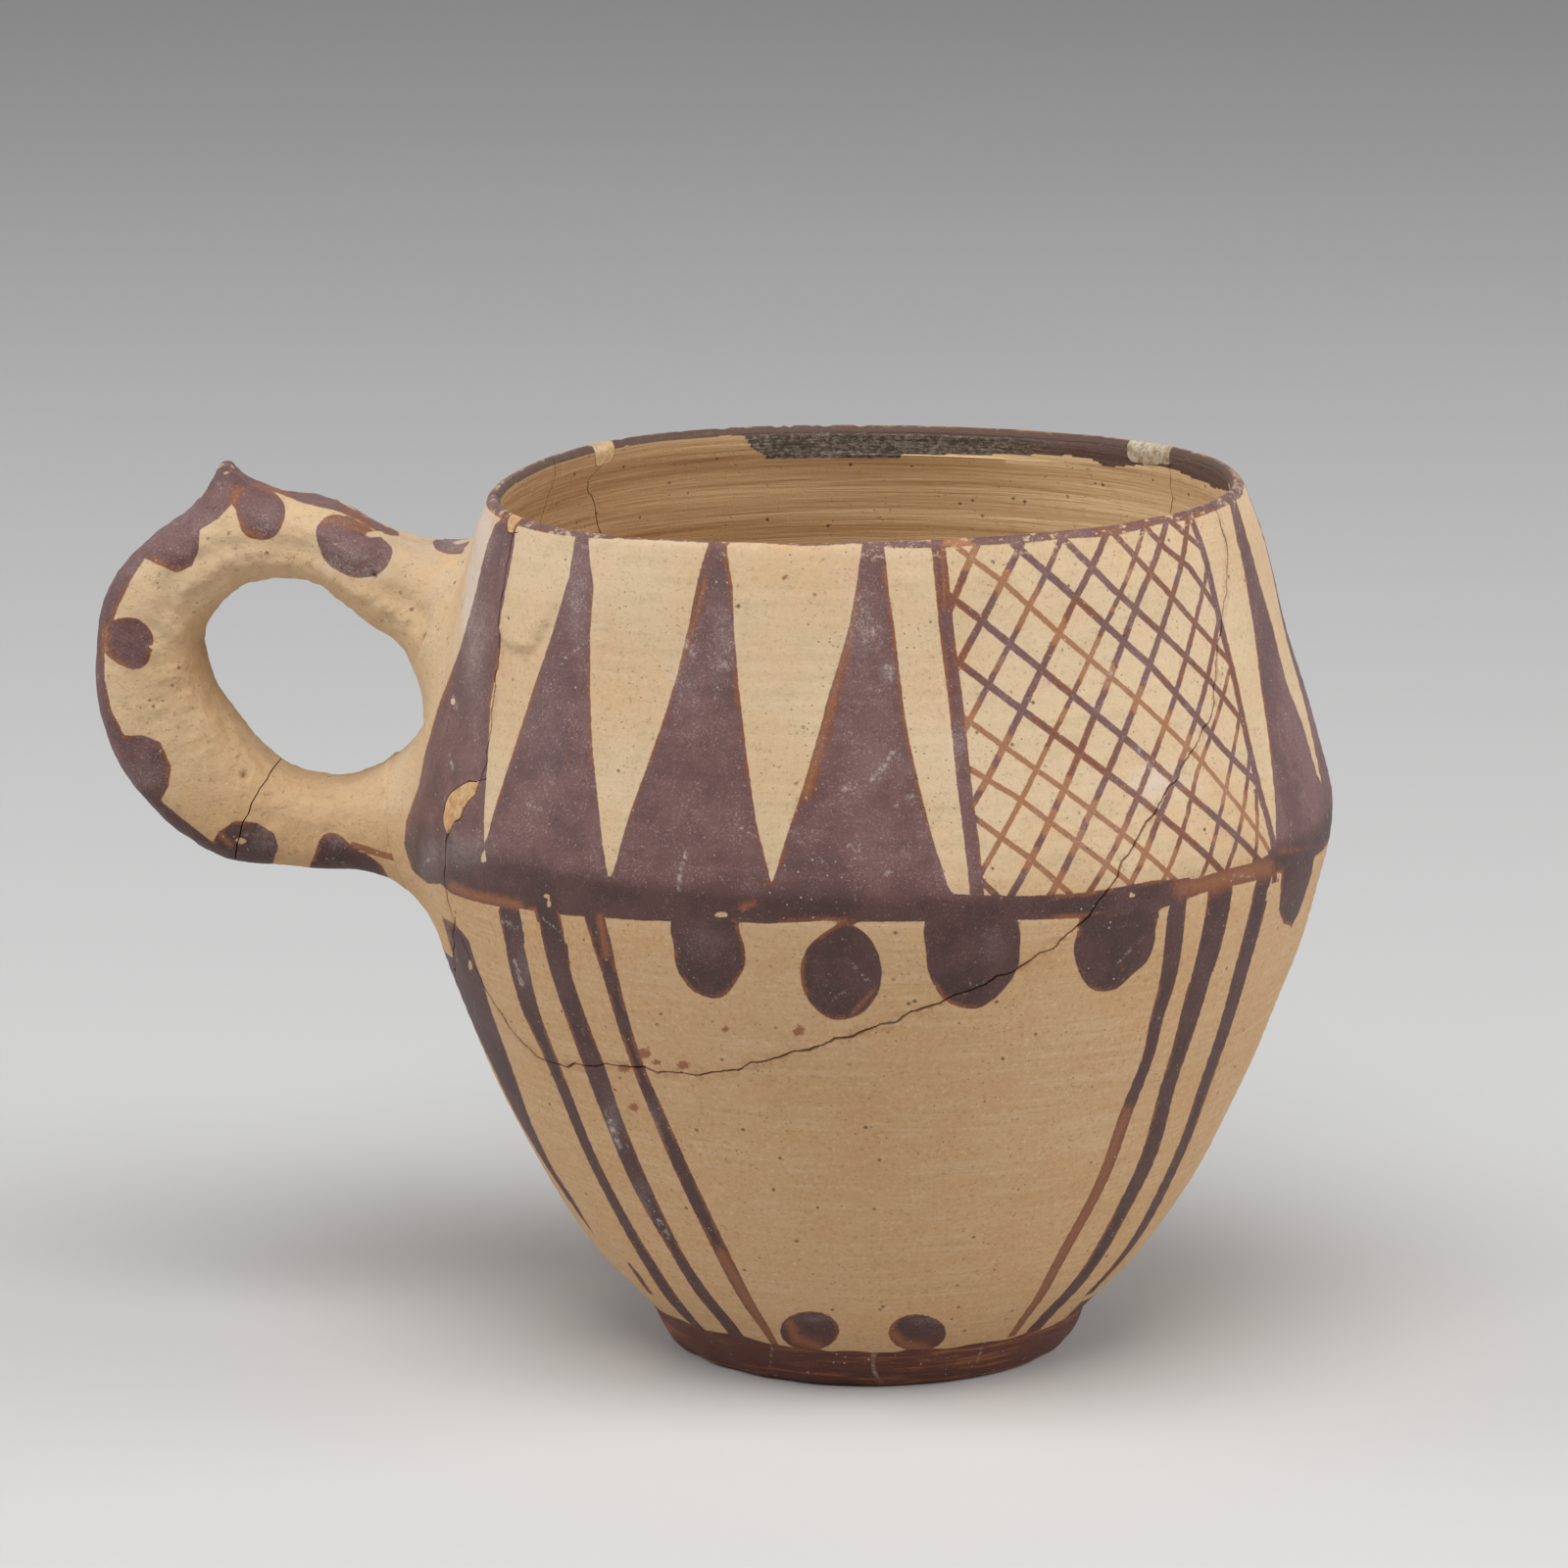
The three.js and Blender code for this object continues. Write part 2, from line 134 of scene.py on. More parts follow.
# The thumb spur's rings: distance from the axis, height, length and breadth
SPUR_RINGS = [
    (82.8, 106, 11, 12.5), (83.1, 109, 9.6, 12), (83.7, 111.6, 6.8, 10),
    (84.4, 113.8, 3.9, 7), (84.8, 115.3, 1.8, 4),
]

# The camera that took the photograph
CAMERA_PLACE = (85.33, -919.5, 271.0)
CAMERA_TURN = 6
CAMERA_PITCH = 12.03
CAMERA_LENS = 165.6
SENSOR = 36
PHOTO_SIZE = 1600
FOCAL_PIXELS = CAMERA_LENS / SENSOR * PHOTO_SIZE
# How near and how far from the camera the cup can lie, and the step in which its surface is looked for
NEAREST = 820
FARTHEST = 1050
CAST_STEP = 0.1

# Mesh fineness
COLUMNS = 640
OUTER_STEP = 0.55
LIP_STEP = 0.3
INNER_STEP = 1.1
BREAK_STEP = 0.6
PROFILE_STEP = 0.1
# How far the sharp ridge is worn round
RIDGE_WEAR = 4


def full_turn(count):
    """Evenly spaced angles round a whole turn."""
    return 2 * np.pi * np.arange(count) / count


def unit(vectors):
    return vectors / np.linalg.norm(vectors, axis=1)[:, None]


def tree_of(points):
    """A search tree for the nearest of the points."""
    tree = KDTree(len(points))
    for k, place in enumerate(points):
        tree.insert(place, k)
    tree.balance()
    return tree


def spline(points, count):
    """A smooth line through points of any dimension, with count steps between neighbours."""
    p = np.array(points, float)
    last = len(p) - 1
    made = []
    for i in range(last):
        before, a, b, after = p[max(i - 1, 0)], p[i], p[i + 1], p[min(i + 2, last)]
        u, v = (b - before) / 2, (after - a) / 2
        for w in np.arange(count) / count:
            made.append((2 * a - 2 * b + u + v) * w**3 + (3 * b - 3 * a - 2 * u - v) * w**2 + u * w + a)
    made.append(p[last])
    return np.array(made)


def resampled(line, step):
    """The same line with points at an even step along it."""
    lengths = np.append(0, np.cumsum(np.linalg.norm(np.diff(line, axis=0), axis=1)))
    count = max(2, int(round(lengths[-1] / step)) + 1)
    at = np.linspace(0, lengths[-1], count)
    return np.column_stack([np.interp(at, lengths, line[:, k]) for k in range(line.shape[1])])


OUTLINE = np.vstack([spline(BOWL_OUTLINE, 40), spline(SHOULDER_OUTLINE, 40)[1:], LIP_OUTLINE[:3]])


def rounded(outline, reach):
    """The outline with its sharp ridge worn round."""
    heights = np.arange(outline[0, 1], outline[-1, 1], PROFILE_STEP)
    radii = np.interp(heights, outline[:, 1], outline[:, 0])
    kernel = np.hanning(int(reach / PROFILE_STEP))
    kernel /= kernel.sum()
    margin = len(kernel)
    smooth = np.convolve(np.pad(radii, margin, mode="edge"), kernel, mode="same")[margin:-margin]
    near = np.clip(1 - abs(heights - RIDGE_HEIGHT) / (1.5 * reach), 0, 1)
    return heights, np.minimum(radii, radii + (smooth - radii) * np.clip(2 * near, 0, 1))


FACE_HEIGHTS, FACE_RADII = rounded(OUTLINE, RIDGE_WEAR)


def radius_at(height):
    return np.interp(height, FACE_HEIGHTS, FACE_RADII)


def slope_at(height):
    step = 1.5
    low = np.clip(np.asarray(height, float), 7, LIP_HEIGHT - step)
    return (radius_at(low + step) - radius_at(low - step)) / (2 * step)


def wall_at(height):
    levels = [FLOOR_HEIGHT, RIDGE_HEIGHT, LIP_HEIGHT]
    return np.interp(height, levels, [FLOOR_WALL, RIDGE_WALL, RIM_WALL])


def waves(table, bearing):
    return sum(size * np.cos(count * np.radians(bearing - crest)) for size, count, crest in table)


def pushed(radius, height, bearing):
    """Points of the cup once its rim is pushed out of round."""
    share = np.clip((height - PUSH_START) / (RIM_HEIGHT - PUSH_START), 0, 1)
    r = radius + share * waves(RIM_SPREAD, bearing)
    z = height + share * waves(RIM_LIFT, bearing)
    angle = np.radians(bearing)
    return np.stack([r * np.sin(angle), -r * np.cos(angle), z + 0 * angle], axis=-1)


def unpushed(points):
    """Radius, height and bearing of points before the push."""
    x, y, z = points[:, 0], points[:, 1], points[:, 2]
    bearing = np.degrees(np.arctan2(x, -y))
    height = z.copy()
    for _ in range(6):
        share = np.clip((height - PUSH_START) / (RIM_HEIGHT - PUSH_START), 0, 1)
        height = z - share * waves(RIM_LIFT, bearing)
    return np.hypot(x, y) - share * waves(RIM_SPREAD, bearing), height, bearing


def on_wall(bearing, height):
    return pushed(radius_at(np.minimum(height, LIP_HEIGHT)), height, bearing)


# The camera's own axes, and places on the cup that its pixels show
turn = math.radians(CAMERA_TURN)
pitch = math.radians(CAMERA_PITCH)
EYE = np.array(CAMERA_PLACE)
RIGHTWARD = np.array([math.cos(turn), math.sin(turn), 0])
FORWARD = np.array([-math.sin(turn) * math.cos(pitch), math.cos(turn) * math.cos(pitch), -math.sin(pitch)])
UPWARD = np.cross(RIGHTWARD, FORWARD)


def seen_at(points):
    """The pixels where the camera sees points."""
    offset = points - EYE
    depth = offset @ FORWARD
    middle = PHOTO_SIZE / 2
    across = middle + FOCAL_PIXELS * (offset @ RIGHTWARD) / depth
    down = middle - FOCAL_PIXELS * (offset @ UPWARD) / depth
    return np.column_stack([across, down])


def cast(pixels, inside=False):
    """Bearing and height on the cup's outer face, or on the far inner face, behind each pixel."""
    steps = np.arange(NEAREST, FARTHEST, CAST_STEP)
    found = []
    for px, py in pixels:
        ray = FORWARD + RIGHTWARD * (px - PHOTO_SIZE / 2) / FOCAL_PIXELS
        ray = ray - UPWARD * (py - PHOTO_SIZE / 2) / FOCAL_PIXELS
        radius, height, bearing = unpushed(EYE + steps[:, None] * ray)
        gap = radius - radius_at(height) + (wall_at(height) if inside else 0)
        valid = (height > 0) & (height < RIM_HEIGHT)
        if inside:
            hits = np.flatnonzero(valid & (gap < 0))[-1:]
        else:
            hits = np.flatnonzero(valid & (gap <= 0))[:1]
        if len(hits) == 0:
            hits = [np.argmin(np.where(valid, abs(gap), np.inf))]
        found.append((bearing[hits[0]], height[hits[0]]))
    return found


# Marks of the hand and the wheel
def ripples(seed, count, turns, lengths):
    """Random waves: whole turns round the cup, rate up the wall and phase."""
    pick = np.random.default_rng(seed)
    rates = 2 * np.pi / pick.uniform(lengths[0], lengths[1], count)
    whole = pick.integers(-turns, turns + 1, count)
    return np.column_stack([whole, rates, pick.uniform(0, 2 * np.pi, count)])


def summed(table, bearing, height):
    angle = np.radians(bearing)
    total = sum(np.cos(turns * angle + rate * height + phase) for turns, rate, phase in table)
    return total / math.sqrt(len(table) / 2)


def crests(table, bearing, height):
    """The same waves with narrow crests, as a fingertip leaves between its grooves."""
    angle = np.radians(bearing)
    total = 0
    for turns, rate, phase in table:
        total = total + (0.5 + 0.5 * np.cos(turns * angle + rate * height + phase)) ** 7
    return total / math.sqrt(len(table))


THROWING = ripples(3, 14, 1, (0.9, 3.2))
LUMPS = ripples(5, 12, 6, (14, 45))
WHEEL_RIDGES = ripples(8, 9, 1, (2.8, 7.5))
LIP_WAVES = ripples(11, 16, 26, (30, 60))


def nick_table(seed, count):
    """Small chips in the lip: bearing, half width in degrees and depth in mm."""
    pick = np.random.default_rng(seed)
    made = []
    for _ in range(count):
        made.append((pick.uniform(-180, 180), pick.uniform(0.3, 1.2), 0.03 + 0.3 * pick.random() ** 3))
    return made


NICKS = nick_table(31, 50)


def nicked(bearing):
    """How deep the lip is chipped, in mm."""
    total = np.zeros(np.shape(bearing))
    for middle, half, deep in NICKS:
        away = abs((bearing - middle + 180) % 360 - 180) / half
        total = np.maximum(total, deep * np.clip(1 - away**2, 0, 1))
    return total


# A tongue of clay smeared on beside the handle: its outline in pixels, its thickness and the heights
# between which it grows out of the wall
SMEAR = [
    (512, 585), (507, 615), (507, 640), (515, 660), (530, 668), (545, 666),
    (554, 652), (566, 625), (575, 590),
]
SMEAR_THICKNESS = 0.9
SMEAR_EDGE = 1.1
SMEAR_TOP = 109
SMEAR_LOW = 99
# One degree round the shoulder, in mm
SHOULDER_DEGREE = math.radians(54)
# How much the outer face is worn, grooved by the fingers and out of true, and the inner face ridged, in mm
WEAR = 0.12
GROOVES = 0.022
UNEVENNESS = 0.07
INNER_RIDGES = 0.36
INNER_UNEVENNESS = 0.08


def rough(points, size, seed, octaves=4):
    """Fractal noise at points, about -1 to 1."""
    shift = Vector((seed * 3.1, seed * 1.7, seed * 2.3))
    return np.array([noise.fractal(Vector(p) / size + shift, 0.8, 2, octaves) for p in points])


def outer_relief(bearing, height):
    """How far the outer face sinks, in mm."""
    relief = WEAR + GROOVES * summed(THROWING, bearing, height) + UNEVENNESS * summed(LUMPS, bearing, height)
    outline = np.array(cast(SMEAR))
    outline = np.vstack([outline, outline[:1]])
    flat = np.column_stack([bearing.ravel(), height.ravel()])
    scale = np.array([SHOULDER_DEGREE, 1])
    inside = within(flat, outline)
    away = away_from(flat * scale, outline * scale)
    edge = np.clip(np.where(inside, away, 0) / SMEAR_EDGE, 0, 1)
    ramp = np.clip((SMEAR_TOP - flat[:, 1]) / (SMEAR_TOP - SMEAR_LOW), 0, 1)
    near = np.flatnonzero(edge > 0)
    lumps = np.zeros(len(flat))
    lumps[near] = 0.3 * rough(np.column_stack([flat[near], flat[near, 0] * 0]), 2, 4)
    smear = edge * edge * (3 - 2 * edge) * ramp * (SMEAR_THICKNESS + lumps)
    return np.maximum(relief, 0) - smear.reshape(bearing.shape)


def inner_relief(bearing, height):
    """How far the inner face stands in from the wall's plain inner surface."""
    ridges = crests(WHEEL_RIDGES, bearing, height) * np.clip((108 - height) / 6, 0.1, 1)
    return INNER_RIDGES * ridges + INNER_UNEVENNESS * summed(LUMPS, bearing, height)


# Meshes
def mesh_object(name, vertices, faces):
    mesh = bpy.data.meshes.new(name)
    mesh.from_pydata((np.asarray(vertices) * MM).tolist(), [], faces)
    mesh.update()
    made = bpy.data.objects.new(name, mesh)
    bpy.context.scene.collection.objects.link(made)
    return made


def turned_out(made):
    """Turns a closed mesh's faces outwards."""
    work = bmesh.new()
    work.from_mesh(made.data)
    bmesh.ops.recalc_face_normals(work, faces=work.faces)
    if work.calc_volume(signed=True) < 0:
        bmesh.ops.reverse_faces(work, faces=work.faces)
    work.to_mesh(made.data)
    work.free()
    return made


def lofted(name, rings):
    """A closed body through rings of points, with a fan over each end."""
    rings = np.asarray(rings, float)
    rows, sides = rings.shape[:2]
    vertices = np.vstack([rings.reshape(-1, 3), rings[0].mean(axis=0), rings[-1].mean(axis=0)])
    index = np.arange(rows * sides).reshape(rows, sides)
    following = np.roll(index, -1, axis=1)
    quads = np.stack([index[:-1], following[:-1], following[1:], index[1:]], axis=-1).reshape(-1, 4)
    faces = quads.tolist()
    for hub, ring in ((rows * sides, index[0][::-1]), (rows * sides + 1, index[-1])):
        for k in range(sides):
            faces.append([hub, int(ring[k]), int(ring[(k + 1) % sides])])
    return turned_out(mesh_object(name, vertices, faces))


def points_of(made):
    flat = np.empty(len(made.data.vertices) * 3, np.float32)
    made.data.vertices.foreach_get("co", flat)
    return flat.reshape(-1, 3).astype(float) / MM


def cut(target, tool):
    """Takes the tool's volume out of the target and deletes the tool."""
    step = target.modifiers.new("cut", "BOOLEAN")
    step.operation = "DIFFERENCE"
    step.solver = "MANIFOLD"
    step.object = tool
    shown = target.evaluated_get(bpy.context.evaluated_depsgraph_get())
    fresh = bpy.data.meshes.new_from_object(shown)
    target.modifiers.clear()
    old = target.data
    target.data = fresh
    bpy.data.meshes.remove(old)
    used = tool.data
    bpy.data.objects.remove(tool)
    bpy.data.meshes.remove(used)


def loose_parts(made):
    before = set(bpy.context.scene.objects)
    bpy.ops.object.select_all(action="DESELECT")
    made.select_set(True)
    bpy.context.view_layer.objects.active = made
    bpy.ops.object.mode_set(mode="EDIT")
    bpy.ops.mesh.select_all(action="SELECT")
    bpy.ops.mesh.separate(type="LOOSE")
    bpy.ops.object.mode_set(mode="OBJECT")
    return [made] + [o for o in bpy.context.scene.objects if o not in before]


def named_parts(parts, seeds):
    """Names each loose part by the seed point that lies nearest to it, and deletes the crumbs."""
    clouds = {part: points_of(part) for part in parts}
    named = {}
    for name, seed in seeds:
        best = min(clouds, key=lambda part: np.linalg.norm(clouds[part] - seed, axis=1).min())
        best.name = name
        best.data.name = name
        named[name] = best
        del clouds[best]
    for crumb in clouds:
        bpy.data.objects.remove(crumb)
    return named


def shell_profile():
    """Rows of the cup's section from the foot over the lip to the floor: radius, height and 1 for outside."""
    outer = np.column_stack([FACE_RADII, FACE_HEIGHTS])
    outer = resampled(outer[outer[:, 1] <= LIP_HEIGHT], OUTER_STEP)
    levels = np.linspace(LIP_HEIGHT - 0.8, FLOOR_HEIGHT + 2.4, 200)
    slope, wall = slope_at(levels), wall_at(levels)
    length = np.hypot(1, slope)
    inner = np.column_stack([radius_at(levels) - wall / length, levels + wall * slope / length])
    lip = resampled(spline([outer[-1], *LIP_OUTLINE, inner[0]], 8), LIP_STEP)
    last = inner[-1]
    corner = spline([last, last - (4.5, 1.9), (last[0] - 12, FLOOR_HEIGHT), (4, FLOOR_HEIGHT)], 12)
    inside = resampled(np.vstack([inner, corner[1:]]), INNER_STEP)
    rows = np.vstack([outer, lip[1:-1], inside])
    outside = np.zeros(len(rows))
    outside[: len(outer)] = 1
    outside[len(outer): len(outer) + len(lip) - 2] = 0.5
    return rows, outside


def shell():
    """The whole cup as one closed body, before it breaks."""
    rows, outside = shell_profile()
    bearings = -180 + 360 * np.arange(COLUMNS) / COLUMNS
    bearing, height = np.meshgrid(bearings, rows[:, 1])
    radius = np.repeat(rows[:, :1], COLUMNS, axis=1)
    side = np.repeat(outside[:, None], COLUMNS, axis=1)
    fade = np.clip((height - FOOT_HEIGHT) / 4, 0, 1) * np.clip((LIP_HEIGHT - height) / 3, 0, 1)
    radius = radius - np.where(side == 1, outer_relief(bearing, height) * fade, 0)
    radius = radius - np.where(side == 0, inner_relief(bearing, height) * np.clip(radius / 30, 0, 1), 0)
    height = height - np.where(side == 0.5, 0.05 + 0.03 * summed(LIP_WAVES, bearing, height), 0)
    height = height - nicked(bearing) * np.clip((height - RIM_HEIGHT + 2.6) / 1.6, 0, 1)
    grid = pushed(radius, height, bearing).reshape(-1, 3)
    low = [0, 0, FOOT_HEIGHT + GLUE_GAP]
    deep = [0, 0, FLOOR_HEIGHT]
    index = np.arange(len(rows) * COLUMNS).reshape(len(rows), COLUMNS)
    following = np.roll(index, -1, axis=1)
    faces = np.stack([index[:-1], following[:-1], following[1:], index[1:]], axis=-1).reshape(-1, 4).tolist()
    for k in range(COLUMNS):
        after = (k + 1) % COLUMNS
        faces.append([len(grid), after, k])
        faces.append([len(grid) + 1, int(index[-1][k]), int(index[-1][after])])
    return turned_out(mesh_object("cup", np.vstack([grid, low, deep]), faces))


def break_path(line, seed, wander):
    """A break's path on the outer face, in short steps that wander between its corners, and directions."""
    pick = np.random.default_rng(seed)
    fine = spline(line, 12)
    corners = on_wall(fine[:, 0], fine[:, 1])
    lengths = np.append(0, np.cumsum(np.linalg.norm(np.diff(corners, axis=0), axis=1)))
    count = int(lengths[-1] / BREAK_STEP)
    at = np.linspace(0, lengths[-1], count)
    bearing = np.interp(at, lengths, fine[:, 0])
    height = np.interp(at, lengths, fine[:, 1])
    points = on_wall(bearing, height)
    share = np.interp(at, lengths, np.arange(len(fine)) / 12)
    envelope = np.sin(np.pi * (share % 1)) ** 0.5
    drift = np.zeros(count)
    for size in (5, 2.6, 1.4):
        angle = 2 * np.pi * at / size * pick.uniform(0.8, 1.2)
        drift += size / 5 * np.sin(angle + pick.uniform(0, 2 * np.pi))
    out = wall_directions(bearing, height)
    along = unit(np.gradient(points, axis=0))
    side = unit(np.cross(out, along))
    points = points + side * (drift * envelope * wander)[:, None]
    return points, out, along, side, height, pick


def blade(line, seed, wander=WANDER, gap=0.16, chips=0.28):
    """A thin wedge through the wall along a break. Its outer edge is chipped wider here and there."""
    overrun = 1.2
    points, out, along, side, height, pick = break_path(line, seed, wander)
    points[0] -= along[0] * overrun
    points[-1] += along[-1] * overrun
    loss = np.convolve(pick.uniform(0, 1, len(points)) ** 5, [0.3, 0.7, 1, 0.7, 0.3], mode="same") * chips
    narrow = np.full(len(points), gap / 2)
    wide = narrow + np.clip(loss, 0.02, 0.9)
    rings = []
    for depth, half in ((3, wide), (0.5, wide), (-0.6, narrow), (-8, narrow)):
        rings.append(points + out * depth + side * half[:, None])
    for depth, half in ((-8, narrow), (-0.6, narrow), (0.5, wide), (3, wide)):
        rings.append(points + out * depth - side * half[:, None])
    return lofted("blade", np.stack(rings, axis=1))


def seam(line, seed):
    """The old glue in a break, a little below both faces of the wall."""
    points, out, _, side, height, _ = break_path(line, seed, WANDER)
    inside = (height < RIM_HEIGHT - 1) & (height > FLOOR_HEIGHT)
    points, out, side = points[inside], out[inside], side[inside]
    wall = wall_at(height[inside])[:, None]
    half = 0.12
    top = points - out * 0.5
    bottom = points - out * (wall - 0.5)
    ring = [top + side * half, top - side * half, bottom - side * half, bottom + side * half]
    return lofted("seam", np.stack(ring, axis=1))


def sherds():
    """The cup's sherds and fills, as named parts."""
    cup = shell()
    for k, line in enumerate(BREAKS):
        cut(cup, blade(line, BREAK_SEED + k))
    for k, line in enumerate(CHIPS):
        cut(cup, blade(line, CHIP_SEED + k, wander=0.1, gap=0.1, chips=0.1))
    sunk = 1

    def seed(bearing, height):
        return pushed(radius_at(height) - sunk, np.float64(height), np.float64(bearing))

    return named_parts(loose_parts(cup), [
        ("front_sherd", seed(0, 90)),
        ("handle_sherd", seed(-90, 90)),
        ("side_sherd", seed(-118, 90)),
        ("back_sherd", seed(-180, 90)),
        ("lower_sherd", seed(0, 30)),
        ("left_rim_filling", seed(-123.4, 114)),
        ("right_rim_filling", seed(-223, 113.5)),
        ("front_rim_filling", seed(-51.8, 114.4)),
        ("wall_filling", seed(-56, 78.5)),
    ])


# The handle
HANDLE_RINGS = 420
HANDLE_SIDES = 120
SPUR_SIDES = 72
SPUR_FILLET = 5
PIXELS_PER_MM = 7.95
# A ragged seam along the handle above the finger hole, and pits with their sizes, in pixels
RAGGED_SEAM = [(184, 610), (200, 590), (225, 576), (260, 570), (300, 574), (350, 596), (400, 625), (440, 652)]
PITS = [(250, 791, 4), (437, 642, 3.5), (382, 587, 2.5)]
PIT_DEPTH = 1.1


def nearest_on(points, line):
    """The distance of points from a line of points, and the place on it, counted in steps from its start."""
    best = np.full(len(points), np.inf)
    place = np.zeros(len(points))
    line = np.asarray(line, float)
    for k, (a, b) in enumerate(zip(line[:-1], line[1:])):
        reach = b - a
        share = np.clip(((points - a) @ reach) / max(reach @ reach, 1e-12), 0, 1)
        away = np.linalg.norm(points - a - share[:, None] * reach, axis=1)
        place = np.where(away < best, k + share, place)
        best = np.minimum(best, away)
    return best, place


def away_from(points, line):
    return nearest_on(points, line)[0]


def handle_rings():
    """Rings of points of the handle before its roots are smoothed onto the wall."""
    steps = HANDLE_RINGS // (len(HANDLE_STATIONS) - 1)
    stations = spline(HANDLE_STATIONS, steps)
    angle = full_turn(HANDLE_SIDES)
    c = np.sign(np.cos(angle)) * abs(np.cos(angle)) ** HANDLE_SQUARENESS
    s = np.sign(np.sin(angle)) * abs(np.sin(angle)) ** HANDLE_SQUARENESS
    outer, inner, breadth = stations[:, 0:2], stations[:, 2:4], stations[:, 4:5]
    middle = (outer + inner) / 2
    half = (outer - inner) / 2
    across = middle[:, None, 0] + half[:, None, 0] * c
    level = middle[:, None, 1] + half[:, None, 1] * c
    return np.stack([-across, breadth / 2 * s, level], axis=-1)


def ring_normals(rings):
    along = np.gradient(rings, axis=0)
    round_it = np.roll(rings, -1, axis=1) - np.roll(rings, 1, axis=1)
    normal = np.cross(along, round_it)
    normal /= np.maximum(np.linalg.norm(normal, axis=2), 1e-9)[:, :, None]
    middle = rings.mean(axis=1)[:, None, :]
    if ((rings - middle) * normal).sum() < 0:
        normal = -normal
    return normal


def rounding(own, other, away, size):
    """How points of a face move to meet another face in a round corner: along that face and away from their
    own. It takes both faces' outward directions and the points' distances outside the other face."""
    along = own - (own * other).sum(axis=1)[:, None] * other
    length = np.maximum(np.linalg.norm(along, axis=1), 0.3)
    reach = np.clip(away / length, size / 4, size)
    return along * ((np.sqrt(size) - np.sqrt(reach)) ** 2 / length)[:, None]


def drawn_out(points, own, chosen, other, outward, size):
    """How the chosen points of a face move to meet a surface, given by its points and outward directions."""
    tree = tree_of(other)
    found = [tree.find(points[k]) for k in chosen]
    index = np.array([hit[1] for hit in found])
    away = np.array([hit[2] for hit in found])
    gap = ((points[chosen] - other[index]) * outward[index]).sum(axis=1)
    moved = np.zeros(points.shape)
    size = np.broadcast_to(size, len(other))[index]
    moved[chosen] = rounding(own[chosen], outward[index], np.where(gap < 0, -away, away), size)
    return moved


def root_fillets():
    """The size of the round corner for each point of the handle's rings."""
    c = np.cos(full_turn(HANDLE_SIDES))
    upper = np.interp(c, (-1, 0, 1), UPPER_ROOT_FILLET)
    lower = np.interp(c, (-1, 0, 1), LOWER_ROOT_FILLET)
    rows = len(plain_handle)
    return np.where(np.arange(rows)[:, None] < rows / 2, upper, lower).ravel()


def wall_directions(bearing, height):
    """The outward directions of the cup's outer face."""
    angle = np.radians(bearing)
    return unit(np.column_stack([np.sin(angle), -np.cos(angle), -slope_at(height)]))


def above_wall(points):
    """The distance of points outside the cup's outer face."""
    radius, height, bearing = unpushed(points)
    return (radius - radius_at(height)) / np.hypot(1, slope_at(height))


def handle_body(plain, horn):
    """The finished handle, with its hand-made surface."""
    normal = ring_normals(plain).reshape(-1, 3)
    points = plain.reshape(-1, 3)
    radius, height, bearing = unpushed(points)
    corner = rounding(normal, wall_directions(bearing, height), above_wall(points), root_fillets())
    high = np.flatnonzero((points[:, 2] > 104) & (points[:, 0] < -72))
    flat = horn.reshape(-1, 3)
    corner = corner + drawn_out(points, normal, high, flat, ring_normals(horn).reshape(-1, 3), SPUR_FILLET)
    lumps = 0.26 * (rough(points, 14, 1, 3) - 0.5) + 0.15 * (rough(points, 5, 5, 3) - 0.4)
    lumps = lumps + 0.12 * (rough(points, 1.8, 2, 3) - 0.5)
    pixels = seen_at(points)
    front = points[:, 1] < 1
    seam_away = away_from(pixels, RAGGED_SEAM) / PIXELS_PER_MM
    tear = np.exp(-((seam_away / 1.1) ** 2)) * (0.25 + 0.4 * rough(points, 3.5, 3, 4))
    furrow = -0.3 * np.exp(-(((seam_away - 2) / 1) ** 2))
    around = np.tile(np.cos(full_turn(HANDLE_SIDES)), len(plain))
    toward_hole = np.clip((0.35 - around) / 0.5, 0, 1)
    lumps = lumps + toward_hole * 0.24 * (rough(points, 3, 8, 4) - 0.35)
    shift = np.minimum(lumps + 0.12, 0) + np.where(front, tear + furrow, 0)
    for across, down, size in PITS:
        away = np.hypot(pixels[:, 0] - across, pixels[:, 1] - down)
        shift = shift - np.where(front, PIT_DEPTH * np.exp(-((away / size) ** 2)), 0)
    points = points + corner + normal * shift[:, None]
    return lofted("handle", points.reshape(plain.shape))


def core():
    """The cup's bulk under the middle of its wall, to trim the handle's roots."""
    depth = 1.3
    heights = np.linspace(8, 112, 70)
    bearing, height = np.meshgrid(np.linspace(-180, 180, 180, endpoint=False), heights)
    return lofted("core", pushed(radius_at(height) - depth, height, bearing))


def handle_blade():
    """A thin sheet through the handle along its break."""
    reach = 14
    pick = np.random.default_rng(70)
    path = resampled(spline(HANDLE_BREAK, 12), BREAK_STEP)
    drift = np.convolve(pick.uniform(-1, 1, len(path)), [0.25, 0.5, 0.25], mode="same") * 0.35
    half = 0.09
    rings = []
    for (distance, level), shift in zip(path, drift):
        x = -distance + shift
        rings.append([(x - half, -reach, level), (x + half, -reach, level),
                      (x + half, reach, level), (x - half, reach, level)])
    return lofted("blade", rings)


def handle_parts(plain, horn):
    handle = handle_body(plain, horn)
    cut(handle, core())
    cut(handle, handle_blade())
    return named_parts(loose_parts(handle), [
        ("handle_loop", np.array([-100, 0, 88])),
        ("handle_stub", np.array([-66, 0, 62])),
    ])


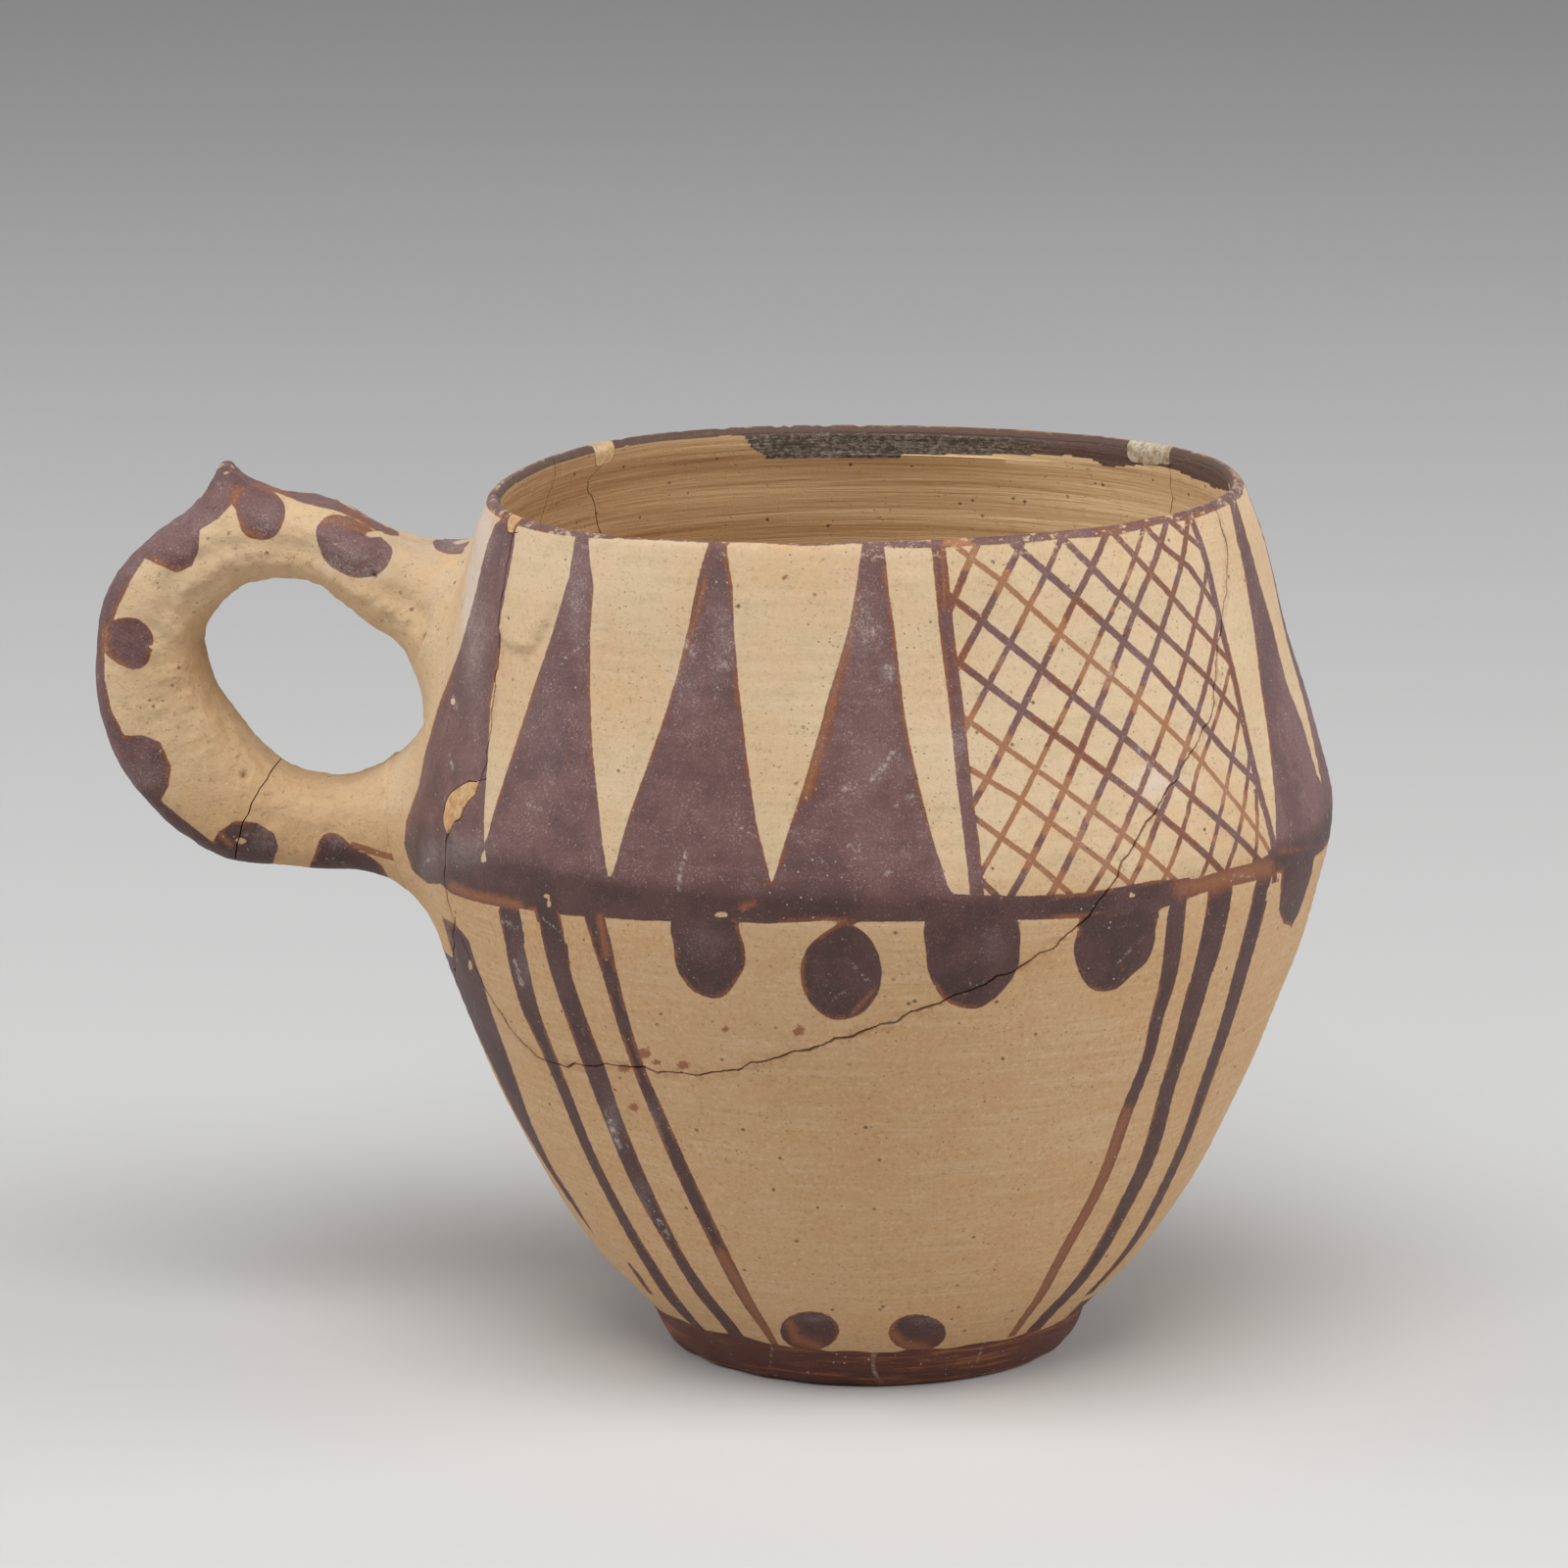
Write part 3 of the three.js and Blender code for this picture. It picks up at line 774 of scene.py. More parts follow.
def smooth_onto_handle(wall, plain):
    """Draws the wall out in a round corner at the handle's roots."""
    flat = plain.reshape(-1, 3)
    close = np.flatnonzero((above_wall(flat) > -6) & (above_wall(flat) < 22))
    outward = ring_normals(plain).reshape(-1, 3)[close]
    sizes = root_fillets()[close]
    points = points_of(wall)
    radius, height, bearing = unpushed(points)
    depth = radius_at(height) - radius
    fade = np.clip((LIP_HEIGHT + 1 - height) / 5, 0, 1)
    near = np.flatnonzero((abs(bearing + 90) < 45) & (height > 35) & (depth < 1.2))
    own = wall_directions(bearing, height)
    points = points + drawn_out(points, own, near, flat[close], outward, sizes) * fade[:, None]
    wall.data.vertices.foreach_set("co", (points * MM).astype(np.float32).ravel())
    wall.data.update()


def spur_rings():
    """Rings of the thumb spur, drawn up to a ridge."""
    angle = full_turn(SPUR_SIDES)
    rings = []
    for distance, level, length, breadth in spline(SPUR_RINGS, 14):
        across = -distance + length / 2 * np.cos(angle)
        rings.append(np.column_stack([across, breadth / 2 * np.sin(angle), np.full(SPUR_SIDES, level)]))
    return np.array(rings)


def spur(rings, plain):
    """The thumb spur, smoothed onto the handle."""
    points = rings.reshape(-1, 3)
    flat = plain.reshape(-1, 3)
    close = np.flatnonzero((flat[:, 2] > 98) & (flat[:, 0] < -70))
    outward = ring_normals(plain).reshape(-1, 3)[close]
    own = ring_normals(rings).reshape(-1, 3)
    points = points + drawn_out(points, own, np.arange(len(points)), flat[close], outward, SPUR_FILLET)
    points = points - own * (0.15 + 0.25 * np.maximum(rough(points, 3, 6, 3), -0.5))[:, None]
    return lofted("horn", points.reshape(rings.shape))


def foot():
    """The disc foot, with a worn edge."""
    columns = 420
    rows = 20
    outline = [
        (REST_RADIUS - 0.4, 0), (REST_RADIUS + 0.3, 0.08), (REST_RADIUS + 1, 0.5), (REST_RADIUS + 1.8, 1.5),
        (FOOT_RADIUS - 0.8, 3.4), (FOOT_RADIUS - 0.2, 4.9), (FOOT_RADIUS + 0.3, 5.9),
        (FOOT_RADIUS - 1.5, 6.6),
    ]
    section = resampled(spline(outline, 12), 0.35)
    section = np.vstack([np.column_stack([np.linspace(2, section[0, 0] - 1, rows), np.zeros(rows)]), section])
    bearing, height = np.meshgrid(np.linspace(-180, 180, columns, endpoint=False), section[:, 1])
    radius = np.repeat(section[:, :1], columns, axis=1)
    worn = 0.14 + 0.1 * summed(ripples(15, 14, 24, (6, 20)), bearing, height)
    radius = radius - np.maximum(worn, 0) * (height > 0.02)
    return lofted("foot_disc", pushed(radius, height, bearing))


# Paint. Each list holds pixels of the photograph in which a painted shape is seen.
TRIANGLES = [
    [(533, 527), (528, 535), (524, 560), (512, 650), (500, 720), (497, 770), (494, 866), (480, 905),
     (440, 900), (428, 850), (432, 800), (440, 760), (455, 705), (470, 660), (485, 600), (497, 555),
     (505, 535), (520, 525)],
    [(593, 541), (613, 541), (606, 600), (602, 650), (602, 700), (604, 760), (611, 830), (622, 900),
     (600, 920), (500, 915), (494, 868), (500, 840), (515, 790), (530, 745), (548, 690), (565, 640),
     (580, 590)],
    [(728, 551), (747, 551), (748, 600), (749, 640), (754, 700), (762, 770), (772, 840), (788, 902),
     (770, 920), (640, 920), (622, 900), (628, 880), (642, 830), (660, 780), (676, 735), (690, 690),
     (702, 640), (712, 590)],
    [(880, 552), (902, 552), (907, 600), (913, 640), (925, 740), (938, 800), (952, 855), (968, 905),
     (976, 916), (960, 930), (800, 930), (788, 902), (800, 860), (820, 800), (833, 755), (845, 710),
     (856, 675), (866, 640), (873, 600)],
    [(1250, 508), (1262, 550), (1270, 580), (1280, 640), (1287, 700), (1295, 750), (1300, 800),
     (1302, 850), (1300, 868), (1330, 868), (1353, 830), (1353, 808), (1345, 790), (1330, 740),
     (1315, 700), (1300, 640), (1285, 590), (1272, 545), (1260, 508)],
]
BAND = [
    (430, 850), (450, 872), (494, 880), (560, 890), (622, 898), (700, 903), (786, 901), (880, 903),
    (976, 912), (1050, 914), (1110, 910), (1142, 905), (1178, 898), (1222, 896), (1250, 887), (1282, 879),
    (1300, 868), (1330, 865), (1352, 850), (1358, 835), (1358, 850), (1345, 872), (1320, 887), (1300, 893),
    (1282, 899), (1240, 908), (1225, 913), (1178, 930), (1110, 937), (980, 939), (900, 941), (840, 940),
    (780, 943), (737, 940), (654, 940), (616, 937), (571, 934), (533, 928), (506, 925), (480, 919),
    (460, 912), (442, 894),
]
DROPS = [
    [(688, 935), (687, 968), (691, 990), (704, 1009), (722, 1018), (737, 1018), (749, 1006), (760, 986),
     (760, 968), (755, 952), (746, 935)],
    [(843, 950), (828, 962), (820, 975), (816, 990), (821, 1015), (838, 1035), (857, 1041), (880, 1034),
     (896, 1014), (900, 990), (893, 965), (878, 948), (860, 941)],
    [(950, 935), (945, 975), (950, 1000), (964, 1021), (983, 1029), (1002, 1028), (1022, 1013),
     (1037, 992), (1041, 972), (1032, 935)],
    [(1110, 930), (1098, 957), (1096, 974), (1101, 992), (1108, 1004), (1117, 1011), (1131, 1012),
     (1142, 1008), (1156, 995), (1171, 981), (1178, 965), (1180, 948), (1178, 925)],
]
# A drop at the edge of the view: its seen side in pixels, and the rest as bearings and heights
SIDE_DROP = [(1308, 885), (1307, 905), (1306, 930), (1311, 943), (1318, 945)]
SIDE_DROP_HIDDEN = [(74, 59.6), (76.3, 61.8), (77.3, 66), (76.5, 71)]
# Stripes as rows: level, left edge, right edge
LEFT_STRIPES = [
    [(900, 500, 526), (915, 505, 531), (960, 514, 535), (1020, 528, 547), (1080, 555, 568), (1160, 588, 599),
     (1240, 628, 639), (1300, 663, 676), (1340, 692, 704), (1366, 716, 723)],
    [(900, 537, 563), (925, 543, 569), (960, 553, 578), (1000, 564, 585), (1080, 592, 614), (1140, 614, 633),
     (1220, 650, 668), (1280, 685, 698), (1330, 717, 732), (1376, 748, 764)],
    [(905, 588, 609), (930, 594, 615), (960, 603, 623), (1000, 616, 632), (1080, 641, 654), (1160, 672, 688),
     (1240, 710, 726), (1320, 751, 765), (1376, 788, 796)],
]
SHORT_STRIPE = [(1286, 638, 640), (1303, 649, 654), (1322, 664, 667)]
RIGHT_STRIPES = [
    [(895, 1200, 1216), (912, 1197, 1213), (940, 1191, 1210), (1000, 1184, 1201), (1040, 1174, 1188),
     (1080, 1165, 1177), (1140, 1142, 1155), (1220, 1112, 1124), (1300, 1068, 1079), (1366, 1027, 1034)],
    [(890, 1234, 1262), (900, 1233, 1261), (940, 1227, 1255), (980, 1220, 1243), (1020, 1209, 1230),
     (1100, 1187, 1203), (1180, 1164, 1180), (1260, 1126, 1140), (1340, 1065, 1077), (1370, 1044, 1060)],
    [(880, 1286, 1304), (890, 1284, 1302), (920, 1277, 1295), (960, 1268, 1284), (1040, 1246, 1259),
     (1100, 1227, 1239), (1180, 1198, 1208), (1260, 1158, 1166), (1305, 1123, 1129), (1322, 1108, 1112)],
]
# The long wedge under the handle, down its right side and then up the left side that is seen
WEDGE = [
    (450, 934), (462, 942), (470, 950), (478, 960), (482, 975), (493, 1004), (510, 1058),
    (528, 1108), (541, 1144),
    (562, 1191), (586, 1227), (608, 1263), (584, 1232), (553, 1186), (524, 1134), (503, 1090), (484, 1050),
]
# Its left side beyond the edge of the view, as bearings and heights
WEDGE_HIDDEN = [(-85.5, 50), (-87.5, 56), (-89, 62), (-87, 67)]
PANEL_LEFT = [(957, 553), (962, 600), (967, 650), (976, 720), (984, 800), (992, 860), (997, 912)]
PANEL_RIGHT = [(1213, 523), (1229, 565), (1243, 620), (1259, 690), (1273, 750), (1287, 812), (1300, 866)]
# Hatching as lines, each with 1 where the slip is thin
RISING = [
    ([(998, 553), (984, 585), (966, 630)], 0.2), ([(1045, 548), (1020, 600), (985, 665), (970, 694)], 0.2),
    ([(1085, 545), (1050, 620), (1008, 700), (978, 757)], 0.8),
    ([(1132, 536), (1098, 610), (1052, 705), (1010, 790), (988, 829)], 0.3),
    ([(1163, 555), (1125, 645), (1072, 755), (1030, 840), (1000, 893)], 1),
    ([(1192, 525), (1165, 605), (1115, 735), (1075, 830), (1032, 914)], 0.2),
    ([(1213, 525), (1198, 605), (1160, 715), (1110, 835), (1073, 912)], 0.2),
    ([(1228, 605), (1205, 690), (1165, 805), (1112, 910)], 0.5),
    ([(1243, 640), (1222, 730), (1180, 840), (1152, 905)], 0.4),
    ([(1247, 715), (1222, 790), (1190, 893)], 0.9), ([(1262, 755), (1245, 830), (1224, 900)], 0.9),
    ([(1273, 800), (1255, 880), (1249, 896)], 0.6), ([(1283, 845), (1280, 878)], 0.6),
]
FALLING = [
    ([(1192, 530), (1213, 548)], 0.4),
    ([(1160, 530), (1190, 560), (1215, 580), (1230, 602)], 0.4),
    ([(1130, 538), (1165, 575), (1215, 630), (1245, 664)], 0.5),
    ([(1082, 547), (1135, 600), (1185, 645), (1235, 695), (1254, 718)], 0.3),
    ([(1026, 548), (1095, 608), (1175, 680), (1250, 765), (1276, 792)], 0.1),
    ([(967, 551), (1025, 595), (1080, 645), (1170, 722), (1230, 780), (1292, 862)], 1),
    ([(955, 597), (1000, 632), (1065, 685), (1150, 755), (1230, 825), (1292, 887)], 0.2),
    ([(968, 668), (1010, 700), (1075, 748), (1160, 812), (1252, 895)], 0.2),
    ([(978, 728), (1025, 762), (1085, 805), (1145, 850), (1197, 896)], 1),
    ([(982, 780), (1040, 815), (1100, 860), (1155, 903)], 1),
    ([(990, 831), (1050, 875), (1092, 912)], 0.9), ([(995, 893), (1015, 912)], 0.5),
]
FOOT_LINE = [
    (665, 1330), (694, 1346), (719, 1357), (755, 1362), (798, 1375), (840, 1378), (980, 1377), (1020, 1371),
    (1045, 1366), (1084, 1352), (1104, 1328),
]
FOOT_DOTS = [(826, 1358, 31, 20), (936, 1360, 30, 19)]
INNER_BAND = [
    (757, 443), (768, 458), (785, 467), (860, 466), (1000, 464), (1090, 465), (1112, 468), (1130, 477),
    (1168, 474), (1195, 478), (1215, 487), (1240, 498), (1262, 503),
]
HANDLE_EDGE = [
    (430, 500), (430, 548), (400, 547), (385, 543), (365, 531), (345, 522), (310, 514), (280, 502),
    (262, 496), (240, 511), (222, 530), (204, 541), (203, 562), (196, 578), (180, 585), (162, 577),
    (148, 570), (135, 590), (120, 622), (107, 660), (107, 692), (114, 725), (127, 750), (146, 750),
    (164, 757), (175, 782), (172, 803), (164, 817), (190, 838), (217, 859), (222, 849), (240, 837),
    (262, 839), (280, 850), (284, 864), (278, 884), (250, 930), (60, 930), (60, 400), (430, 400),
]
HANDLE_SPOTS = [
    [(233, 505), (245, 492), (268, 495), (288, 510), (291, 528), (280, 548), (262, 551),
     (247, 543), (240, 520)],
    [(322, 542), (335, 526), (355, 527), (375, 537), (398, 556), (400, 568), (388, 585), (365, 590),
     (345, 583), (330, 570)],
    [(442, 551), (455, 550), (466, 555), (480, 552), (490, 553), (488, 560), (474, 565),
     (455, 565), (444, 560)],
    [(104, 640), (120, 631), (140, 631), (155, 645), (156, 662), (148, 680), (133, 683),
     (112, 672), (104, 660)],
    [(320, 900), (322, 868), (331, 851), (347, 852), (362, 866), (380, 875), (395, 892), (395, 920)],
]
# The triangle beside the handle, as it runs down onto the lower root
ROOT_TRIANGLE = [
    (533, 527), (500, 700), (494, 866), (480, 905), (436, 902), (420, 888), (412, 862), (414, 838),
    (427, 802),
    (433, 770), (447, 720), (470, 660), (485, 600), (497, 555), (520, 525),
]
ROOT_SHAPES = [ROOT_TRIANGLE, BAND, WEDGE]
HANDLE_LINES = [([(360, 862), (390, 872), (435, 883)], 0.8)]
LINE_FAMILIES = ("upright", "rising", "falling")
# The width of the hatching's lines where the slip is thick and thin, and how far from paint is measured
LINE_WIDTH = 1.1
THIN_WIDTH = 0.8
PAINT_REACH = 2.5
STAIN_TOP = 114.6
NO_LINE = -9
# How well slip covers the lip, as bearing and share
LIP_SLIP = [
    (-180, 0.9), (-60, 0.9), (-40, 0.7), (-30, 0.1), (-12, -0.2), (3, 0.0), (8, 0.8),
    (30, 1), (60, 0.9), (180, 0.9),
]

# Where the slip is thin and orange: a line of pixels and its half width in pixels
THIN_LINES = [
    ([(610, 560), (605, 620), (603, 700), (606, 780)], 5), ([(548, 690), (530, 745), (517, 785)], 4),
    ([(748, 600), (756, 700), (766, 780), (784, 880)], 5),
    ([(660, 780), (676, 735), (690, 690), (705, 630)], 4),
    ([(872, 600), (866, 650), (850, 710), (838, 755), (822, 810)], 9),
    ([(526, 560), (514, 650), (501, 720)], 4),
    ([(902, 580), (912, 640), (924, 740), (950, 850)], 4), ([(720, 590), (708, 640), (690, 690)], 4),
    ([(462, 905), (480, 913), (530, 924)], 7), ([(757, 926), (768, 922)], 5), ([(740, 545), (745, 570)], 5),
    ([(1150, 1135), (1118, 1220), (1073, 1300), (1031, 1364)], 10), ([(612, 935), (619, 975)], 5),
    ([(735, 1280), (765, 1330), (790, 1369)], 9), ([(806, 1350), (812, 1366), (835, 1374)], 7),
    ([(912, 1362), (922, 1372), (944, 1376)], 7), ([(960, 555), (965, 620)], 3),
    ([(992, 780), (1004, 800)], 4),
    ([(1206, 906), (1225, 903), (1255, 895), (1290, 886)], 14), ([(892, 1010), (870, 1034)], 3),
    ([(242, 500), (236, 520), (250, 543), (265, 548)], 6), ([(330, 535), (335, 527), (372, 536)], 5),
    ([(108, 640), (108, 668), (128, 681)], 6), ([(158, 570), (172, 582), (185, 582)], 5),
    ([(205, 830), (235, 862)], 4), ([(335, 590), (332, 570)], 4), ([(300, 520), (380, 545)], 4),
]
# Where a pale bloom lies: middle and half sizes in pixels, and strength. On bare clay above the ridge a bloom
# also paints a highlight.
BLOOMS = [
    (484, 640, 12, 90, 1.0), (470, 868, 26, 16, 1.0), (590, 610, 12, 45, 0.7), (560, 740, 26, 60, 0.3),
    (735, 655, 14, 45, 0.8), (700, 690, 20, 40, 0.5), (880, 640, 16, 40, 0.6), (905, 685, 8, 14, 0.8),
    (900, 780, 24, 20, 0.3), (494, 550, 12, 34, 0.9), (462, 558, 22, 6, 1.2), (566, 1040, 8, 30, 0.5),
    (540, 985, 12, 22, 0.6), (625, 1150, 8, 24, 1.0),
    (655, 1228, 10, 24, 0.6), (667, 1160, 8, 26, 1.0), (1012, 965, 14, 18, 0.4), (720, 960, 22, 14, 0.4),
    (352, 570, 24, 16, 0.9), (378, 583, 16, 8, 1.2), (275, 525, 12, 16, 0.5), (270, 858, 14, 14, 0.7),
    (345, 858, 14, 10, 0.6), (150, 790, 14, 14, 0.5), (205, 530, 16, 10, 0.4), (430, 560, 45, 24, 0.4),
    (455, 620, 22, 60, 0.4), (440, 870, 12, 20, 0.9), (417, 850, 7, 34, 1.2), (834, 1345, 14, 4, 0.5),
    (945, 1348, 14, 4, 0.5), (1180, 800, 40, 24, 0.5), (978, 760, 8, 24, 0.8),
]
# Pale scuffs on the slip: a line of pixels and its half width in pixels
SCUFFS = [
    ([(702, 866), (695, 888), (692, 908)], 2.5), ([(878, 612), (884, 628), (893, 650)], 2.5),
    ([(860, 806), (868, 801), (876, 812)], 3), ([(914, 822), (924, 816), (931, 811)], 3),
    ([(906, 680), (910, 692)], 3), ([(890, 795), (902, 782), (912, 765)], 3), ([(700, 655), (708, 668)], 3),
    ([(737, 675), (742, 682)], 3), ([(866, 863), (875, 868)], 2.5), ([(902, 888), (908, 892)], 2.5),
    ([(619, 1132), (626, 1156), (633, 1170)], 3), ([(660, 1128), (669, 1160), (676, 1180)], 3),
    ([(525, 980), (533, 1005)], 2.5), ([(672, 1245), (682, 1262)], 3), ([(460, 770), (462, 785)], 2.5),
    ([(463, 712), (465, 722)], 2.5), ([(1340, 700), (1346, 716)], 2.5), ([(835, 620), (880, 612)], 2),
    ([(1160, 765), (1182, 792)], 3), ([(1118, 660), (1135, 690)], 2.5), ([(1020, 700), (1026, 710)], 3),
]
# Rust spots on the clay, and flakes off the slip down to the clay: middle and half sizes in pixels
RUST_SPOTS = [
    (657, 1075, 8, 6), (697, 1087, 8, 5), (637, 1090, 7, 5), (815, 1052, 7, 6), (740, 1050, 4, 4),
    (647, 1130, 6, 5), (670, 1084, 6, 3), (800, 590, 3, 3), (965, 1010, 4, 3), (1155, 1120, 4, 4),
    (620, 1000, 3, 3),
]
FLAKES = [
    (736, 933, 9, 4), (960, 822, 9, 8), (558, 914, 4, 3), (462, 716, 3, 6),
    (560, 922, 3, 5), (1155, 913, 4, 4), (724, 869, 3, 3), (480, 985, 3, 7),
    (383, 545, 12, 4), (225, 640, 3, 3), (246, 858, 7, 4), (155, 660, 4, 4),
]


class Paint:
    """Painted shapes on points of the wall: how deep in paint each point lies in mm, and how thin it is.

    Lines that run side by side in a family have values of their own: the distance from the nearest line, and
    half that line's width."""

    def __init__(self, points, bearing, height):
        self.points = points
        self.bearing = bearing
        self.height = height
        self.depth = np.full(len(points), -PAINT_REACH)
        self.thin = np.zeros(len(points))
        self.across = {name: np.full(len(points), PAINT_REACH) for name in LINE_FAMILIES}
        self.half = {name: np.full(len(points), float(NO_LINE)) for name in self.across}

    def near(self, line):
        """Points near a line of bearings and heights, with the bearing unwrapped to the line's own turn."""
        middle = (line[:, 0].min() + line[:, 0].max()) / 2
        bearing = (self.bearing - middle + 180) % 360 - 180 + middle
        margin = 4
        level = (self.height > line[:, 1].min() - margin) & (self.height < line[:, 1].max() + margin)
        reach = 3 * margin
        turn = (bearing > line[:, 0].min() - reach) & (bearing < line[:, 0].max() + reach)
        return np.flatnonzero(level & turn), bearing

    def shape(self, outline, thin=0.0):
        line = resampled_bearings(np.asarray(list(outline) + [outline[0]], float))
        chosen, bearing = self.near(line)
        away = np.minimum(away_from(self.points[chosen], on_wall(line[:, 0], line[:, 1])), PAINT_REACH)
        inside = within(np.column_stack([bearing[chosen], self.height[chosen]]), line)
        depth = np.where(inside, away, -away)
        better = depth > self.depth[chosen]
        self.depth[chosen[better]] = depth[better]
        self.thin[chosen[better]] = thin

    def lines(self, family, rows, bounds=None):
        """Paints lines of bearing, height, half width and thinness. The distance from them changes sign on
        each line and keeps it up to the next, so that it runs evenly over both sides of a line."""
        across, half = self.across[family], self.half[family]
        for k, row in enumerate(rows):
            line = resampled_bearings(row)
            chosen, bearing = self.near(line)
            away, place = nearest_on(self.points[chosen], on_wall(line[:, 0], line[:, 1]))
            flat = np.column_stack([bearing[chosen], self.height[chosen]])
            closer = away < abs(across[chosen])
            kept, away, place, flat = chosen[closer], away[closer], place[closer], flat[closer]
            across[kept] = away * side_of(flat, line[:, :2], place) * (-1) ** k
            width = np.interp(place, np.arange(len(line)), line[:, 2])
            ended = (place <= 0) | (place >= len(line) - 1) | (away > width + 1.3)
            if bounds is not None:
                ended |= ~within(flat, bounds)
            half[kept] = np.where(ended, NO_LINE, width)
            bordered = self.half["upright"][kept] > abs(self.across["upright"][kept])
            bare = (self.depth[kept] < -0.15) & ((family == "upright") | ~bordered)
            self.thin[kept] = np.where(bare & (away < width + 1.3), line[0, 3], self.thin[kept])


def resampled_bearings(line):
    """A line that starts with bearings and heights, with no step over about 2.5 degrees or mm."""
    line = np.asarray(line, float)
    made = [line[0]]
    for a, b in zip(line[:-1], line[1:]):
        count = max(1, int(math.ceil(max(abs(b[0] - a[0]), abs(b[1] - a[1])) / 2.5)))
        made.extend(a + (b - a) * k / count for k in range(1, count + 1))
    return np.array(made)


def side_of(points, line, place):
    """1 or -1 for flat points on one or the other side of a line, by the steps of it that are nearest."""
    step = np.clip(place.astype(int), 0, len(line) - 2)
    reach = line[step + 1] - line[step]
    gap = points - line[step]
    return np.where(reach[:, 0] * gap[:, 1] > reach[:, 1] * gap[:, 0], 1, -1)


def within(points, outline):
    """Whether flat points lie inside a closed outline."""
    inside = np.zeros(len(points), bool)
    for (x0, y0), (x1, y1) in zip(outline[:-1], outline[1:]):
        if y0 == y1:
            continue
        crosses = (points[:, 1] > y0) != (points[:, 1] > y1)
        inside ^= crosses & (points[:, 0] < x0 + (points[:, 1] - y0) * (x1 - x0) / (y1 - y0))
    return inside


def oval(across, down, half_width, half_height):
    angle = full_turn(16)
    return np.column_stack([across + half_width * np.cos(angle), down + half_height * np.sin(angle)])


def softened(outline):
    """A closed outline with its corners rounded into one smooth curve."""
    p = [tuple(point) for point in outline]
    return spline([p[-1], *p, p[0], p[1]], 4)[4:-5]


def stripe(rows, thin):
    """A painted stripe from rows of level, left and right edge: bearing, height, half width and thinness."""
    left = np.array(cast([(a, level) for level, a, b in rows]))
    right = np.array(cast([(b, level) for level, a, b in rows]))
    middle = (left + right) / 2
    half = away_from(on_wall(middle[:, 0], middle[:, 1]), on_wall(left[:, 0], left[:, 1]))
    return spline(np.column_stack([middle, half, np.full(len(half), thin)]), 4)


def drawn(line, half, thin):
    """A painted line of even width, drawn on past both its ends so that its bounds cut it."""
    line = np.asarray(line, float)
    before = line[0] + (line[0] - line[1]) * 5 / np.linalg.norm(line[0] - line[1])
    after = line[-1] + (line[-1] - line[-2]) * 5 / np.linalg.norm(line[-1] - line[-2])
    line = np.vstack([before, line, after])
    return np.column_stack([line, np.full(len(line), half), np.full(len(line), thin)])


def lowered(line):
    """A line of pixels that starts a little below the rim."""
    (x0, y0), (x1, y1) = line[:2]
    share = min(8 / math.hypot(x1 - x0, y1 - y0), 0.4) if y0 < 560 else 0
    return [(x0 + share * (x1 - x0), y0 + share * (y1 - y0)), *line[1:]]


def line_half(thin):
    return (LINE_WIDTH + (THIN_WIDTH - LINE_WIDTH) * thin) / 2


def spike(tip, left, right):
    """A tall triangle that hangs between the rim and the band, in bearings."""
    heights = np.linspace(115.5, 72, 8)
    share = (115.5 - heights) / 43.5
    left_edge = tip - 0.9 + (left - tip + 0.9) * share**1.1
    right_edge = tip + 0.9 + (right - tip - 0.9) * share**1.1
    return list(zip(left_edge, heights)) + list(zip(right_edge[::-1], heights[::-1]))


def teardrop(bearing, width, low):
    """A drop that hangs from the band: its bearing, its width in degrees and its lowest height."""
    angles = np.radians(np.linspace(-90, 90, 11))
    top, middle = 71, low + 5.5
    half = width / 2
    side = [(bearing + half * math.sin(a), middle - 5.5 * math.cos(a)) for a in angles]
    return [(bearing - half * 0.8, top)] + side + [(bearing + half * 0.8, top)]


# The unseen side goes on with the seen side's motifs: bearings of tips and of base corners
HIDDEN_SPIKES = [
    (92, 81.5, 103), (113, 103, 123), (178, 168, 189), (199, 189, 210), (220, 210, 231), (237, 231, 246),
]
# The band on the unseen side, along its upper edge and back along its lower edge
HIDDEN_BAND = [
    (74, 74.3), (110, 74.6), (150, 74), (190, 74.4), (230, 74.2), (262, 74.6), (284, 74.6), (302, 74),
    (302, 67.5), (284, 66), (262, 67), (230, 67.8), (190, 67.2), (150, 68), (110, 67.4), (74, 69),
]
HIDDEN_PANEL = (124, 166)
HIDDEN_DROPS = [92, 109, 126, 163, 179, 195, 211, 268]
HIDDEN_STRIPES = [(138, 141), (145, 147), (152, 153), (227, 222), (234, 230), (241, 238)]
HIDDEN_DOTS = [86, 110, 172, 196, 262, 284]
# How far the hatching's lines lie apart and how far they turn on their way up or down, in degrees
HATCH_SPACING = 5
RISING_TURN = 24
FALLING_TURN = 26
HATCH_LOW = 73
HATCH_RISE = 42


